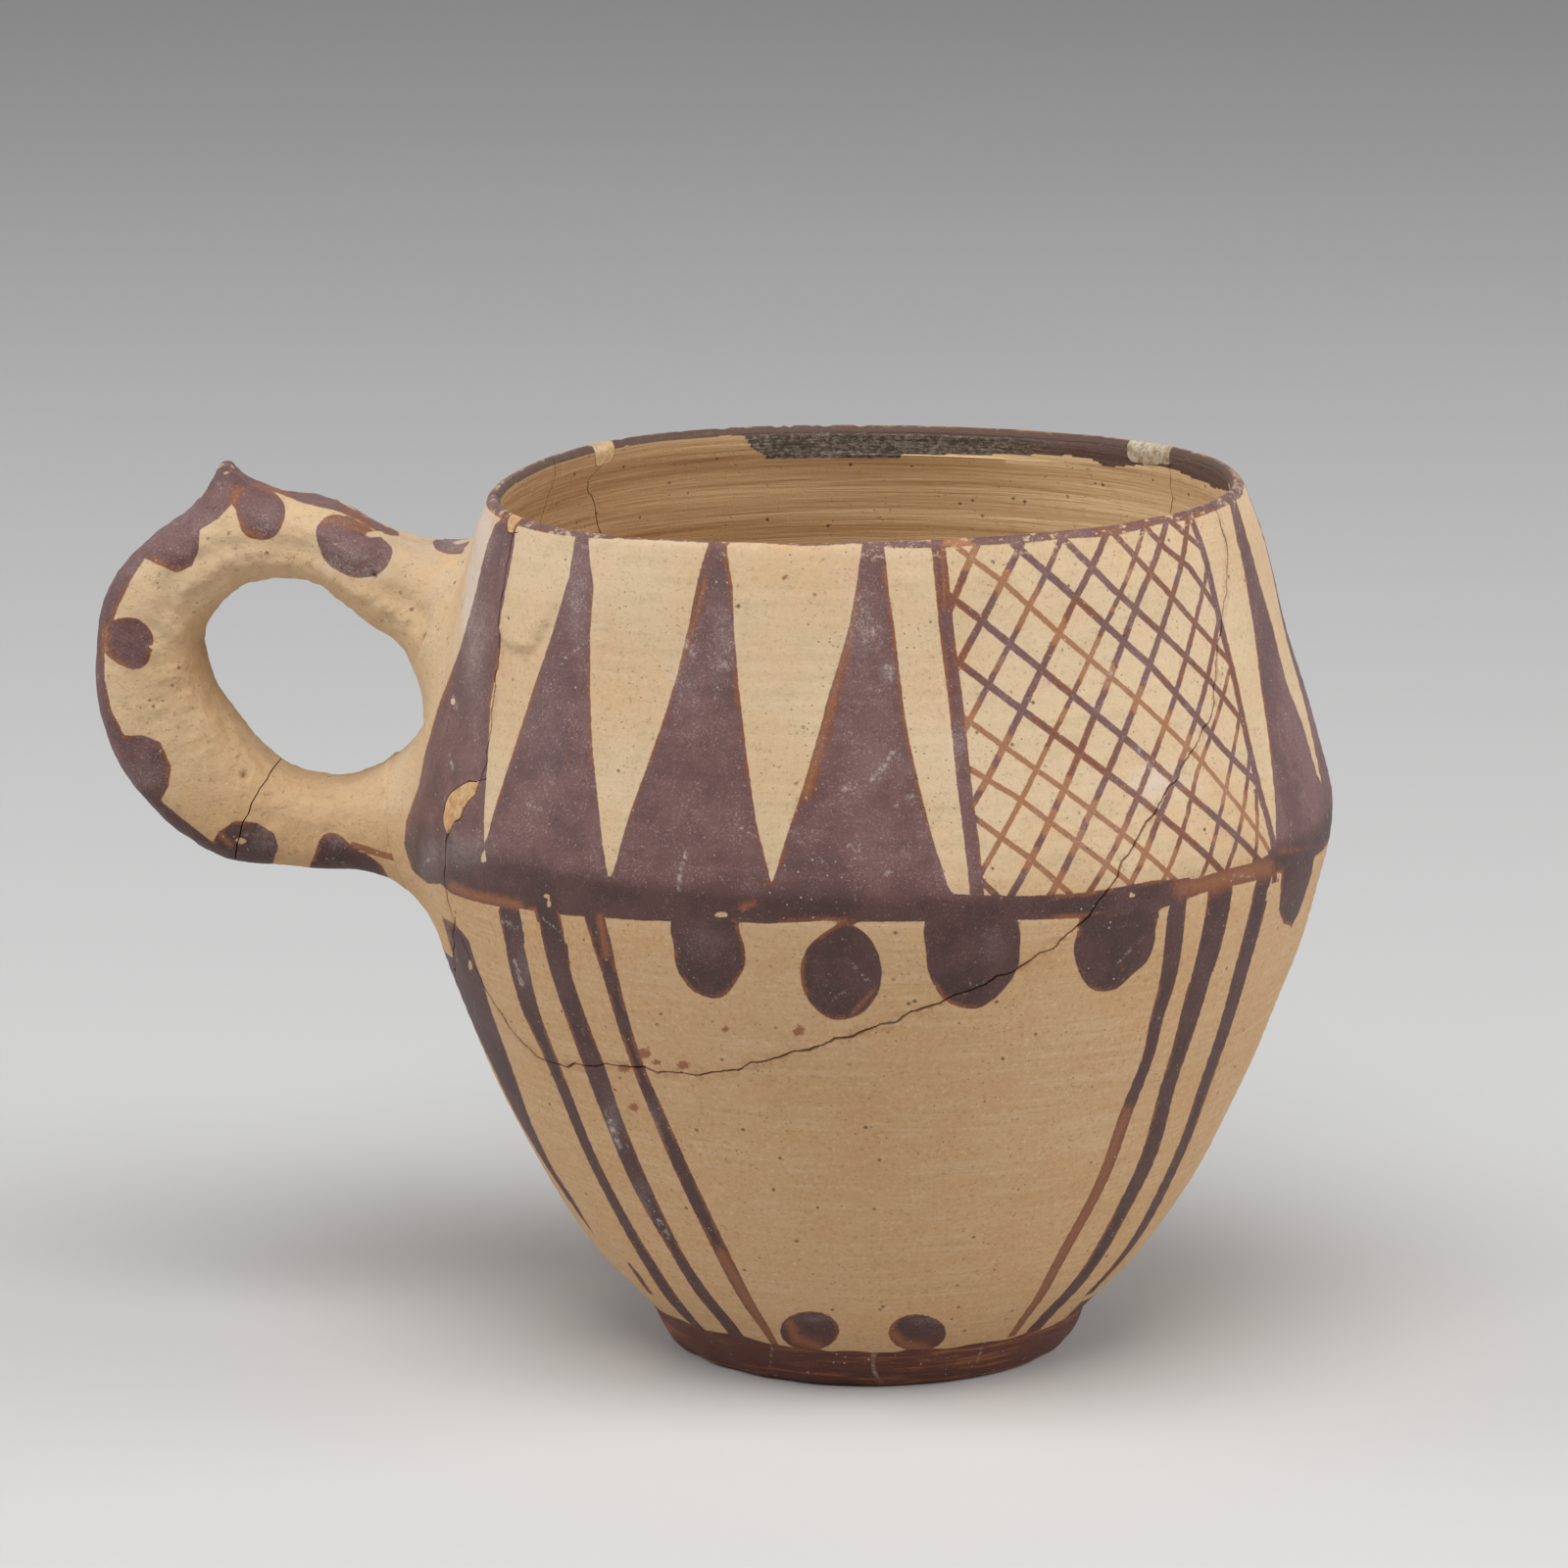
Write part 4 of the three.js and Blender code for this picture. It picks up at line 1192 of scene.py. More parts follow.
def seen_design():
    """The design on the seen side, cast from the photograph's pixels onto the cup."""
    shapes = [(cast(outline), 0) for outline in TRIANGLES + [BAND]]
    shapes += [(cast(softened(outline)), 0) for outline in DROPS]
    shapes += [(cast(oval(*dot)), 0) for dot in FOOT_DOTS]
    shapes.append((cast(WEDGE) + WEDGE_HIDDEN, 0))
    shapes.append((cast(SIDE_DROP) + SIDE_DROP_HIDDEN, 0))
    line = cast(FOOT_LINE)
    start = line[0][0]
    round_back = [(b, 8.6 + 0.5 * math.sin(b / 17)) for b in np.linspace(line[-1][0] + 8, start + 352, 24)]
    shapes.append(([(start, 0), *line, *round_back, (start + 360, line[0][1]), (start + 360, 0)], 0))
    left_edge, right_edge = cast(lowered(PANEL_LEFT)), cast(lowered(PANEL_RIGHT))
    low, high = (0, -2.5), (0, 8)
    bounds = [np.add(left_edge[0], high), *left_edge, np.add(left_edge[-1], low)]
    bounds += [np.add(right_edge[-1], low), *right_edge[::-1], np.add(right_edge[0], high), bounds[0]]
    borders = [drawn(left_edge, 0.95, 0.12), drawn(right_edge, 0.72, 0.05)]
    families = [
        ("upright", [stripe(rows, 0.0) for rows in LEFT_STRIPES], None),
        ("upright", [stripe(SHORT_STRIPE, 0.3)], None),
        ("upright", borders, None),
        ("upright", [stripe(rows, 0.0) for rows in RIGHT_STRIPES], None),
        ("rising", [drawn(cast(lowered(line)), line_half(thin), thin) for line, thin in RISING], bounds),
        ("falling", [drawn(cast(lowered(line)), line_half(thin), thin) for line, thin in FALLING], bounds),
    ]
    return shapes, families


def hidden_design():
    """The design on the side that the photograph doesn't show."""
    shapes = [(HIDDEN_BAND, 0)]
    shapes += [(spike(tip, left, right), 0) for tip, left, right in HIDDEN_SPIKES]
    shapes += [(teardrop(b, 10 + 0.1 * (b % 7), 57 + 0.3 * (b % 5)), 0) for b in HIDDEN_DROPS]
    for bearing in HIDDEN_DOTS:
        shapes.append(([(bearing + 6.5 * math.cos(a), 10.8 + 3.1 * math.sin(a)) for a in full_turn(14)], 0.3))
    left, right = HIDDEN_PANEL
    left_edge = [(left + 1, 115), (left - 0.5, 95), (left, 72)]
    right_edge = [(right - 1, 115), (right + 0.5, 95), (right, 72)]
    above, below = 119, 68
    bounds = [(left + 1, above), *left_edge, (left, below)]
    bounds += [(right, below), *right_edge[::-1], (right - 1, above), (left + 1, above)]
    rising, falling = [], []
    for k in range(-7, 10):
        start = left + HATCH_SPACING * k
        shares = np.linspace(0, 1, 9)
        rise = [(start + RISING_TURN * s, HATCH_LOW + HATCH_RISE * s) for s in shares]
        fall = [(start + FALLING_TURN * s, HATCH_LOW + HATCH_RISE - HATCH_RISE * s) for s in shares]
        rising.append(drawn(rise, line_half(0.3), 0.3 + 0.2 * (k % 3)))
        falling.append(drawn(fall, line_half(0.3), 0.2 + 0.25 * (k % 4)))
    stripes = []
    for k, (top, bottom) in enumerate(HIDDEN_STRIPES):
        rows = [(top, 69), ((top + bottom) / 2, 38), (bottom, 9)]
        half = (1.2, 1.5, 1.1)[k % 3]
        stripes.append([(b, z, half * (0.55 + z / 150), 0.0) for b, z in rows])
    families = [
        ("upright", [drawn(left_edge, 0.95, 0.3), drawn(right_edge, 0.8, 0.3)], None),
        ("upright", stripes[:3], None),
        ("upright", stripes[3:], None),
        ("rising", rising, bounds),
        ("falling", falling, bounds),
    ]
    return shapes, families


def paint_outside(paint):
    for shapes, families in DESIGNS:
        for outline, thin in shapes:
            paint.shape(outline, thin)
        for family, rows, bounds in families:
            paint.lines(family, rows, bounds)


def smears(pixels, lines):
    """1 on the lines of pixels, and less away from them."""
    total = np.zeros(len(pixels))
    for line, half in lines:
        total = np.maximum(total, np.exp(-((away_from(pixels, line) / half) ** 2)))
    return total


def spots(pixels, table):
    """1 or a spot's own strength in its middle, and less away from it."""
    total = np.zeros(len(pixels))
    for across, down, half_width, half_height, *strength in table:
        away = ((pixels[:, 0] - across) / half_width) ** 2 + ((pixels[:, 1] - down) / half_height) ** 2
        total = np.maximum(total, (strength or [1])[0] * np.exp(-away))
    return total


def set_marks(made, pixels, seen, thin):
    """Stores thin slip, bloom, scuffs, rust and flakes, from the pixels where the camera sees the points."""
    set_values(made, "thin", np.maximum(thin, 0.7 * smears(pixels, THIN_LINES) * seen))
    set_values(made, "bloom", spots(pixels, BLOOMS) * seen)
    set_values(made, "scuff", smears(pixels, SCUFFS) * seen)
    set_values(made, "rust", spots(pixels, RUST_SPOTS) * seen)
    set_values(made, "flake", spots(pixels, FLAKES) * seen)


def set_values(made, name, values):
    layer = made.data.attributes.new(name, "FLOAT", "POINT")
    layer.data.foreach_set("value", np.asarray(values, np.float32))


def break_distance(points):
    """The distance of points to the nearest break, up to 3 mm."""
    tree = tree_of(np.vstack([break_path(line, BREAK_SEED + k, WANDER)[0] for k, line in enumerate(BREAKS)]))
    return np.array([min(tree.find(p)[2], 3) for p in points])


def depth_by_eye(pixels, outlines):
    """How deep pixels of the photograph lie in outlines, in mm."""
    depth = np.full(len(pixels), -PAINT_REACH)
    for outline in outlines:
        ring = np.vstack([outline, outline[:1]])
        away = away_from(pixels, ring) / PIXELS_PER_MM
        depth = np.maximum(depth, np.where(within(pixels, ring), away, -away))
    return np.clip(depth, -PAINT_REACH, PAINT_REACH)


def paint_wall(made):
    """Works out the paint on one sherd from where its points lie."""
    points = points_of(made)
    radius, height, bearing = unpushed(points)
    sunk = (radius_at(height) - radius) / np.hypot(1, slope_at(height))
    outside = (sunk < 0.9) | ((height > LIP_HEIGHT) & (radius > RIM_RADIUS - 0.8))
    paint = Paint(on_wall(bearing, height), bearing, height)
    paint_outside(paint)
    coverage = np.interp(bearing, [b for b, _ in LIP_SLIP], [v for _, v in LIP_SLIP])
    lip = height - (RIM_HEIGHT - 0.35 - 0.75 * coverage) + 0.08 * summed(LIP_WAVES, bearing, height)
    lip = lip - 3 * np.maximum(nicked(bearing) - 0.2, 0)
    lip = np.where(height > LIP_HEIGHT - 1.5, np.clip(lip, -2, 1), -PAINT_REACH)
    depth = np.where(outside, np.maximum(paint.depth, lip), lip)
    side_on = np.clip((-60 - bearing) / 4, 0, 1) * np.clip((bearing + 91) / 4, 0, 1)
    level = np.clip((height - 52) / 3, 0, 1) * np.clip((97 - height) / 3, 0, 1)
    near_root = np.where(outside, side_on * level, 0)
    chosen = np.flatnonzero(near_root > 0)
    seen_depth = depth_by_eye(seen_at(points[chosen]), ROOT_SHAPES)
    depth[chosen] += (seen_depth - depth[chosen]) * near_root[chosen]
    deep = (sunk > 0.7) & (height < LIP_HEIGHT)
    set_values(made, "slip", np.where(deep, -PAINT_REACH, depth))
    for name in paint.across:
        set_values(made, name, paint.across[name])
        set_values(made, name + "_half", np.where(outside & ~deep, paint.half[name], NO_LINE))
    seen = np.where(outside, np.clip((88 - abs(bearing - 6)) / 14, 0, 1), 0)
    set_marks(made, seen_at(points), seen, np.where(outside, paint.thin, 0))
    line = cast(INNER_BAND, inside=True)
    stain = Paint(points, bearing, height)
    stain.shape([(b % 360, z) for b, z in line] + [(line[-1][0] % 360, 118), (line[0][0] % 360, 118)])
    below_lip = np.clip(STAIN_TOP - height, -PAINT_REACH, PAINT_REACH)
    set_values(made, "stain", np.where(sunk > 1.2, np.minimum(stain.depth, below_lip), -PAINT_REACH))
    set_values(made, "inside", np.where((sunk > wall_at(height) - 0.8) & (height > FLOOR_HEIGHT - 2), 1, 0))
    set_values(made, "sunk", np.clip(sunk, 0, 3))
    set_values(made, "near_break", break_distance(points))


def paint_handle(made):
    """Works out the paint on a piece of the handle, with the same marks on its unseen side."""
    points = points_of(made)
    mirrored = points * np.array([1, -1, 1])
    pixels = np.where((points[:, 1] > 0)[:, None], seen_at(mirrored), seen_at(points))
    depth = depth_by_eye(pixels, [HANDLE_EDGE] + [softened(spot) for spot in HANDLE_SPOTS] + ROOT_SHAPES)
    thin = np.zeros(len(points))
    for line, thinness in HANDLE_LINES:
        shade = 0.45 - away_from(pixels, line) / PIXELS_PER_MM
        thin = np.where(shade > depth, thinness, thin)
        depth = np.maximum(depth, shade)
    set_values(made, "slip", np.clip(depth, -PAINT_REACH, PAINT_REACH))
    set_marks(made, pixels, 1, thin)


# Materials
def linear(text):
    """A colour such as #d3b48a as linear red, green, blue and alpha."""
    parts = [int(text[k:k + 2], 16) / 255 for k in (1, 3, 5)]
    return [*(c / 12.92 if c <= 0.04045 else ((c + 0.055) / 1.055) ** 2.4 for c in parts), 1]


class Recipe:
    """A short way to write a material's nodes."""

    def __init__(self, name, roughness):
        self.material = bpy.data.materials.new(name)
        self.material.use_nodes = True
        self.tree = self.material.node_tree
        self.shader = self.tree.nodes["Principled BSDF"]
        self.shader.inputs["Roughness"].default_value = roughness
        self.shader.inputs["Specular IOR Level"].default_value = 0.5
        self.where = self.node("ShaderNodeTexCoord").outputs["Object"]

    def node(self, kind, **settings):
        made = self.tree.nodes.new(kind)
        for key, value in settings.items():
            setattr(made, key, value)
        return made

    def put(self, value, socket):
        if isinstance(value, bpy.types.NodeSocket):
            self.tree.links.new(value, socket)
        else:
            socket.default_value = value

    def math(self, operation, a, b=0.0):
        made = self.node("ShaderNodeMath", operation=operation)
        self.put(a, made.inputs[0])
        self.put(b, made.inputs[1])
        return made.outputs[0]

    def vector(self, operation, a, b=None):
        made = self.node("ShaderNodeVectorMath", operation=operation)
        self.put(a, made.inputs[0])
        if b is not None:
            self.put(b, made.inputs[1])
        return made.outputs["Value" if operation in ("DOT_PRODUCT", "LENGTH") else "Vector"]

    def plus(self, a, b):
        return self.math("ADD", a, b)

    def less(self, a, b):
        return self.math("SUBTRACT", a, b)

    def times(self, first, *others):
        for other in others:
            first = self.math("MULTIPLY", first, other)
        return first

    def most(self, first, *others):
        for other in others:
            first = self.math("MAXIMUM", first, other)
        return first

    def attribute(self, name):
        return self.node("ShaderNodeAttribute", attribute_name=name).outputs["Fac"]

    def stretched(self, scale):
        made = self.node("ShaderNodeMapping")
        self.put(self.where, made.inputs["Vector"])
        made.inputs["Scale"].default_value = scale
        return made.outputs[0]

    def noise(self, size, detail=3.0, roughness=0.55, stretch=(1, 1, 1)):
        """Noise with features about size mm wide."""
        made = self.node("ShaderNodeTexNoise")
        scale = 1 / (size * MM)
        self.put(self.stretched([scale * s for s in stretch]), made.inputs["Vector"])
        made.inputs["Scale"].default_value = 1
        made.inputs["Detail"].default_value = detail
        made.inputs["Roughness"].default_value = roughness
        return made.outputs["Fac"]

    def specks(self, spacing):
        """The distance to scattered specks, as a share of their spacing in mm."""
        made = self.node("ShaderNodeTexVoronoi")
        scale = 1 / (spacing * MM)
        self.put(self.stretched([scale] * 3), made.inputs["Vector"])
        made.inputs["Scale"].default_value = 1
        return made.outputs["Distance"]

    def scratches(self, spacing, reach, width):
        """Short straight scratches, one to a cell of the spacing in mm, each in its own direction."""
        cells = self.node("ShaderNodeTexVoronoi")
        place = self.stretched([1 / (spacing * MM)] * 3)
        self.put(place, cells.inputs["Vector"])
        cells.inputs["Scale"].default_value = 1
        gap = self.vector("SUBTRACT", place, cells.outputs["Position"])
        lean = self.vector("NORMALIZE", self.vector("SUBTRACT", cells.outputs["Color"], (0.5, 0.5, 0.5)))
        across = self.math("ABSOLUTE", self.vector("DOT_PRODUCT", gap, lean))
        along = self.vector("LENGTH", gap)
        on_it = self.step(across, width / spacing, 0.3 * width / spacing)
        return self.times(on_it, self.step(along, reach / spacing, 0.6 * reach / spacing))

    def step(self, value, low, high):
        """0 below low, 1 above high, and smooth between. Low may be above high."""
        made = self.node("ShaderNodeMapRange", interpolation_type="SMOOTHSTEP")
        self.put(value, made.inputs["Value"])
        start, end = (0, 1) if low < high else (1, 0)
        made.inputs["From Min"].default_value = min(low, high)
        made.inputs["From Max"].default_value = max(low, high)
        made.inputs["To Min"].default_value = start
        made.inputs["To Max"].default_value = end
        return made.outputs["Result"]

    def mix(self, share, a, b):
        made = self.node("ShaderNodeMix", data_type="RGBA")
        self.put(share, made.inputs["Factor"])
        self.put(a, made.inputs["A"])
        self.put(b, made.inputs["B"])
        return made.outputs["Result"]

    def tinted(self, colour, *layers):
        """The colour with layers over it. Each has a source, its values where the layer starts and is full,
        how strong the layer is, and its colour."""
        for source, low, high, strength, tone in layers:
            colour = self.mix(self.times(self.step(source, low, high), strength), colour, tone)
        return colour

    def bump(self, height, strength, distance, before=None):
        made = self.node("ShaderNodeBump")
        made.inputs["Strength"].default_value = strength
        made.inputs["Distance"].default_value = distance * MM
        self.put(height, made.inputs["Height"])
        if before is not None:
            self.put(before, made.inputs["Normal"])
        return made.outputs["Normal"]

    def finish(self, colour, normal, roughness=None):
        self.put(colour, self.shader.inputs["Base Color"])
        self.put(normal, self.shader.inputs["Normal"])
        if roughness is not None:
            self.put(roughness, self.shader.inputs["Roughness"])
        return self.material


CLAY = linear("#d9bd99")
CLAY_PALE = linear("#e3cdae")
CLAY_WARM = linear("#cfa877")
CLAY_PINK = linear("#d3a98c")
CLAY_GREY = linear("#c3ab83")
# Clay painted darker and warmer for the shade on the lower bowl
CLAY_SHADED_LOW = linear("#c0925f")
# The inner clay in painted shade, and as painted light on the lit side of the inner wall
CLAY_INSIDE_SHADED = linear("#ab835a")
CLAY_INSIDE_LIT = linear("#f2d4a4")
CLAY_SPECK = linear("#5f452c")
CLAY_STAIN = linear("#ae8a56")
RUST = linear("#8a4a2b")
SLIP = linear("#6c4643")
# Slip below the ridge, painted darker as shade
SLIP_SHADED_LOW = linear("#502e29")
SLIP_DARK = linear("#593b3a")
# The darker clouds of slip below the ridge, painted darker as shade
SLIP_DARK_SHADED_LOW = linear("#3c221f")
SLIP_RED = linear("#562b1d")
SLIP_THIN = linear("#9a5d2d")
SLIP_RUSSET = linear("#7a4428")
SLIP_GREY = linear("#8d7774")
BLOOM = linear("#c0aea7")
SCUFF = linear("#cabdb0")
# Pinkish white: partly pale bloom, partly a painted highlight
HAZE_AND_HIGHLIGHT = linear("#dfd1c8")
SOOT = linear("#3d3532")
ASH = linear("#a0988b")
CRACK = linear("#4c3423")


def clay_colour(r, height, wheel=1.0):
    """Bare clay: soft clouds, faint streaks from the wheel, fine grain, specks and a few rusty spots. Below
    about 70 mm it is painted darker and warmer as shade.
    """
    cloud = r.noise(26, 3, 0.6)
    patch = r.noise(8, 6, 0.72, (1, 1, 1.8))
    grain = r.noise(0.6, 4, 0.8)
    streak = r.noise(5, 5, 0.7, (0.2, 0.2, 7))
    streaky = r.times(r.step(patch, 0.4, 0.56), 0.2 * wheel)
    colour = r.tinted(
        CLAY,
        (cloud, 0.4, 0.64, 0.55, CLAY_WARM),
        (patch, 0.48, 0.66, 0.5, CLAY_GREY),
        (patch, 0.47, 0.3, 0.5, CLAY_PINK),
        # Painted shade: the clay turns darker and warmer below about 70 mm
        (height, 0.078, 0.064, 0.68, CLAY_SHADED_LOW),
        (streak, 0.42, 0.6, streaky, CLAY_PALE),
        (streak, 0.4, 0.3, streaky, CLAY_WARM),
        (grain, 0.47, 0.26, 0.55, CLAY_PALE),
        (grain, 0.54, 0.76, 0.6, CLAY_SPECK),
        (r.noise(1.7, 4, 0.8), 0.56, 0.72, r.times(r.step(cloud, 0.4, 0.6), 0.5), CLAY_STAIN),
    )
    blotch = r.times(r.step(patch, 0.64, 0.72), r.step(cloud, 0.5, 0.6), 0.4)
    spot = r.step(r.plus(r.attribute("rust"), r.less(grain, 0.5)), 0.3, 0.65)
    colour = r.mix(r.most(blotch, r.times(spot, 0.8)), colour, RUST)
    few = r.step(r.noise(4, 3, 0.65), 0.44, 0.6)
    fine = r.times(r.step(r.specks(0.9), 0.17, 0.08), 0.7)
    speck = r.times(r.most(r.step(r.specks(2.6), 0.13, 0.06), fine), few)
    return r.mix(r.times(speck, 0.85), colour, CLAY_SPECK), speck


def slip_colour(r, height, depth, thin, bloom, red=0.0, dust=0.5):
    """Brown slip: dark where it is thick, orange where it is thin, with fine grey dust and scuffs. It is
    painted lighter and greyer above the ridge as a sheen, and darker below it as shade.
    """
    soft = r.noise(9, 6, 0.72)
    grain = r.noise(0.5, 5, 0.8)
    # Above the ridge the slip is painted lighter and greyer as a sheen, and below it darker as shade
    upper = r.step(height, 0.0715, 0.0745)
    cloudy = r.step(soft, 0.42, 0.64)
    thick = r.mix(cloudy, SLIP, SLIP_DARK)
    thick_shaded = r.mix(cloudy, SLIP_SHADED_LOW, SLIP_DARK_SHADED_LOW)
    colour = r.mix(red, r.mix(upper, thick_shaded, thick), SLIP_RED)
    rubbed = r.times(r.step(r.noise(1.3, 3, 0.6, (1, 1, 0.1)), 0.57, 0.74), r.step(soft, 0.5, 0.62), 0.5)
    edge = r.times(r.step(depth, 1.2, 0.0), r.plus(r.times(r.step(soft, 0.45, 0.6), 0.5), 0.14))
    share = r.plus(r.most(edge, rubbed, thin), r.times(r.less(grain, 0.5), 1.1))
    share = r.plus(share, r.times(r.less(soft, 0.55), 0.5))
    colour = r.mix(r.step(share, 0.1, 0.55), colour, SLIP_RUSSET)
    colour = r.mix(r.step(share, 0.4, 1.1), colour, SLIP_THIN)
    # The grey veil is partly real dust and bloom, and partly a painted sheen that is stronger above the ridge
    patchy_dust_and_sheen = r.times(r.step(soft, 0.56, 0.36), r.plus(r.times(upper, 0.16), 0.06))
    veil = r.plus(patchy_dust_and_sheen, r.times(bloom, 0.7))
    colour = r.mix(r.times(veil, r.step(grain, 0.3, 0.62)), colour, SLIP_GREY)
    fine = r.plus(r.noise(0.28, 3, 0.8), r.times(veil, 0.14))
    uneven = r.plus(r.times(r.step(r.noise(2.6, 4, 0.8), 0.4, 0.62), 0.9), 0.25)
    # Pale dust, doubled above the ridge as a painted sheen
    dust_and_sheen = r.times(r.plus(r.times(upper, 0.5), 0.5), uneven, dust)
    colour = r.mix(r.times(r.step(fine, 0.54, 0.7), dust_and_sheen), colour, BLOOM)
    torn = r.step(r.plus(grain, r.times(bloom, 0.08)), 0.5, 0.62)
    scratch = r.times(r.scratches(10, 3, 0.3), torn, 0.55)
    worn = r.step(r.noise(1, 4, 0.8), 0.42, 0.6)
    scuffed = r.times(r.step(r.attribute("scuff"), 0.2, 0.9), worn, 0.62)
    white = r.times(r.step(r.specks(1.3), 0.13, 0.06), r.step(soft, 0.46, 0.6), 0.8)
    return r.mix(r.most(scratch, white, scuffed), colour, SCUFF)


def painted_clay(name, hand=False):
    """The clay of the wall or, more lumpy and pitted, of the handle, with its painted design."""
    r = Recipe(name, 0.7)
    parted = r.node("ShaderNodeSeparateXYZ")
    r.put(r.where, parted.inputs[0])
    height = parted.outputs["Z"]
    slip, thin, bloom = r.attribute("slip"), r.attribute("thin"), r.attribute("bloom")
    clay, speck = clay_colour(r, height, 0.2 if hand else 1.0)
    mottle = r.noise(2.2, 5, 0.75)
    # On bare clay above the ridge, where blooms lie, a pinkish-white haze: partly pale bloom, partly a
    # painted highlight
    haze_and_highlight = r.times(r.step(r.plus(bloom, mottle), 0.6, 1.2), r.step(height, 0.066, 0.074))
    clay = r.mix(r.times(haze_and_highlight, 0.65), clay, HAZE_AND_HIGHLIGHT)
    # The handle's clay is painted warmer all over as shade
    clay = r.mix(0.22, clay, CLAY_WARM) if hand else clay
    ragged = r.times(r.less(r.noise(0.8, 4, 0.7), 0.5), 0.3)
    depth = slip
    red = 0.0
    if not hand:
        inside, sunk, stain = r.attribute("inside"), r.attribute("sunk"), r.attribute("stain")
        turned = r.noise(4, 5, 0.65, (0.1, 0.1, 4))
        # Painted light and shade inside: the inner wall is painted lighter towards +X, where light falls, and
        # darker towards -X
        side = r.step(parted.outputs["X"], -0.045, 0.024)
        lit = r.plus(r.times(side, 0.78), r.times(r.step(turned, 0.35, 0.65), 0.22))
        shaded_inside = r.mix(lit, CLAY_INSIDE_SHADED, CLAY_INSIDE_LIT)
        shaded_inside = r.mix(r.times(r.step(mottle, 0.5, 0.68), 0.35), shaded_inside, CLAY_WARM)
        clay = r.mix(inside, clay, r.mix(r.times(speck, 0.9), shaded_inside, CLAY_SPECK))
        for family in LINE_FAMILIES:
            half = r.attribute(family + "_half")
            depth = r.most(depth, r.less(half, r.math("ABSOLUTE", r.attribute(family))))
        near_break = r.attribute("near_break")
        soiled = r.times(r.step(near_break, 1.6, 0.2), r.step(mottle, 0.45, 0.65), 0.35)
        clay = r.mix(soiled, clay, RUST)
        red = r.times(r.step(height, 0.010, 0.006), 0.85)
        dust = r.noise(0.4, 4, 0.8, (0.5, 0.5, 1))
        dusted = r.plus(dust, r.times(r.less(mottle, 0.5), 0.3))
        sooty = r.mix(r.times(r.step(dusted, 0.42, 0.66), 0.8), SOOT, ASH)
        sooty = r.mix(r.times(r.step(parted.outputs["X"], 0.012, 0.024), 0.85), sooty, SLIP_DARK)
        smudge = r.times(r.less(mottle, 0.5), 2)
        stained = r.step(r.plus(stain, smudge), -0.5, 0.7)
        clay = r.mix(r.times(stained, 0.96), clay, sooty)
    cover = r.step(r.plus(depth, ragged), -0.04, 0.12)
    loss = r.times(r.step(r.noise(1.2, 5, 0.78), 0.655, 0.7), r.step(r.noise(12, 2, 0.5), 0.46, 0.62))
    flake = r.plus(r.attribute("flake"), r.times(r.less(mottle, 0.5), 0.9))
    loss = r.most(loss, r.step(flake, 0.5, 0.62))
    crumbled = r.step(r.noise(0.9, 4, 0.75, (0.5, 0.5, 1)), 0.54, 0.62)
    loss = r.most(loss, r.times(r.step(height, 0.1128, 0.1144), crumbled, 0.8))
    cover = r.times(cover, r.less(1.0, loss))
    cover = r.times(cover, r.less(1.0, r.times(r.step(thin, 0.4, 1.0), 0.1)))
    colour = r.mix(cover, clay, slip_colour(r, height, depth, thin, bloom, red))
    if not hand:
        line = r.times(r.step(r.plus(near_break, ragged), 0.32, 0.12), r.step(mottle, 0.3, 0.5), 0.65)
        crack = r.most(line, r.times(r.step(sunk, 0.2, 0.8), r.less(1.0, inside), 0.85))
        colour = r.mix(crack, colour, CRACK)
    grain = r.bump(r.noise(0.5, 5, 0.8), 0.6, 0.18)
    if hand:
        lumps = r.bump(r.noise(2.6, 5, 0.7), 0.5, 0.8, grain)
        relief = r.bump(r.step(r.noise(1.1, 3, 0.6), 0.62, 0.72), 0.6, -0.3, lumps)
    else:
        wheel = r.bump(r.noise(2.4, 4, 0.7, (0.08, 0.08, 2)), 0.16, 0.12, grain)
        relief = r.bump(r.times(r.noise(3, 4, 0.62, (0.05, 0.05, 1.6)), inside), 0.7, 0.7, wheel)
    pits = r.bump(r.less(1.0, speck), 0.6, 0.25, relief)
    normal = r.bump(cover, 0.3, 0.05, pits)
    gloss = r.less(0.72, r.math("MULTIPLY", cover, 0.17))
    return r.finish(colour, normal, gloss)


def slipped_clay():
    """The red-brown slip of the foot, streaked by the wheel and worn, with a painted highlight down its
    front.
    """
    r = Recipe("brown_slip", 0.6)
    clay, _ = clay_colour(r, 0.0)
    streak = r.noise(2.2, 5, 0.75, (0.12, 0.12, 2.4))
    colour = slip_colour(r, 0.0, 2.0, r.times(r.step(streak, 0.46, 0.68), 0.95), 0.0, 0.9, 0.2)
    parted = r.node("ShaderNodeSeparateXYZ")
    r.put(r.where, parted.inputs[0])
    # A pale upright streak down the front of the foot, a little right of its middle: a painted highlight
    sway = r.times(r.less(r.noise(5, 2, 0.5), 0.5), 0.004)
    aside = r.math("ABSOLUTE", r.less(r.plus(parted.outputs["X"], sway), 0.0038))
    front = r.step(parted.outputs["Y"], -0.01, -0.02)
    foot_highlight = r.times(r.step(aside, 0.0006, 0.0002), front, r.step(streak, 0.62, 0.4), 0.4)
    colour = r.mix(foot_highlight, colour, SCUFF)
    worn = r.step(r.noise(1.4, 5, 0.78), 0.66, 0.7)
    colour = r.mix(r.times(worn, 0.8), colour, clay)
    normal = r.bump(streak, 0.5, 0.3, r.bump(r.noise(0.6, 4, 0.7), 0.4, 0.15))
    return r.finish(colour, normal)


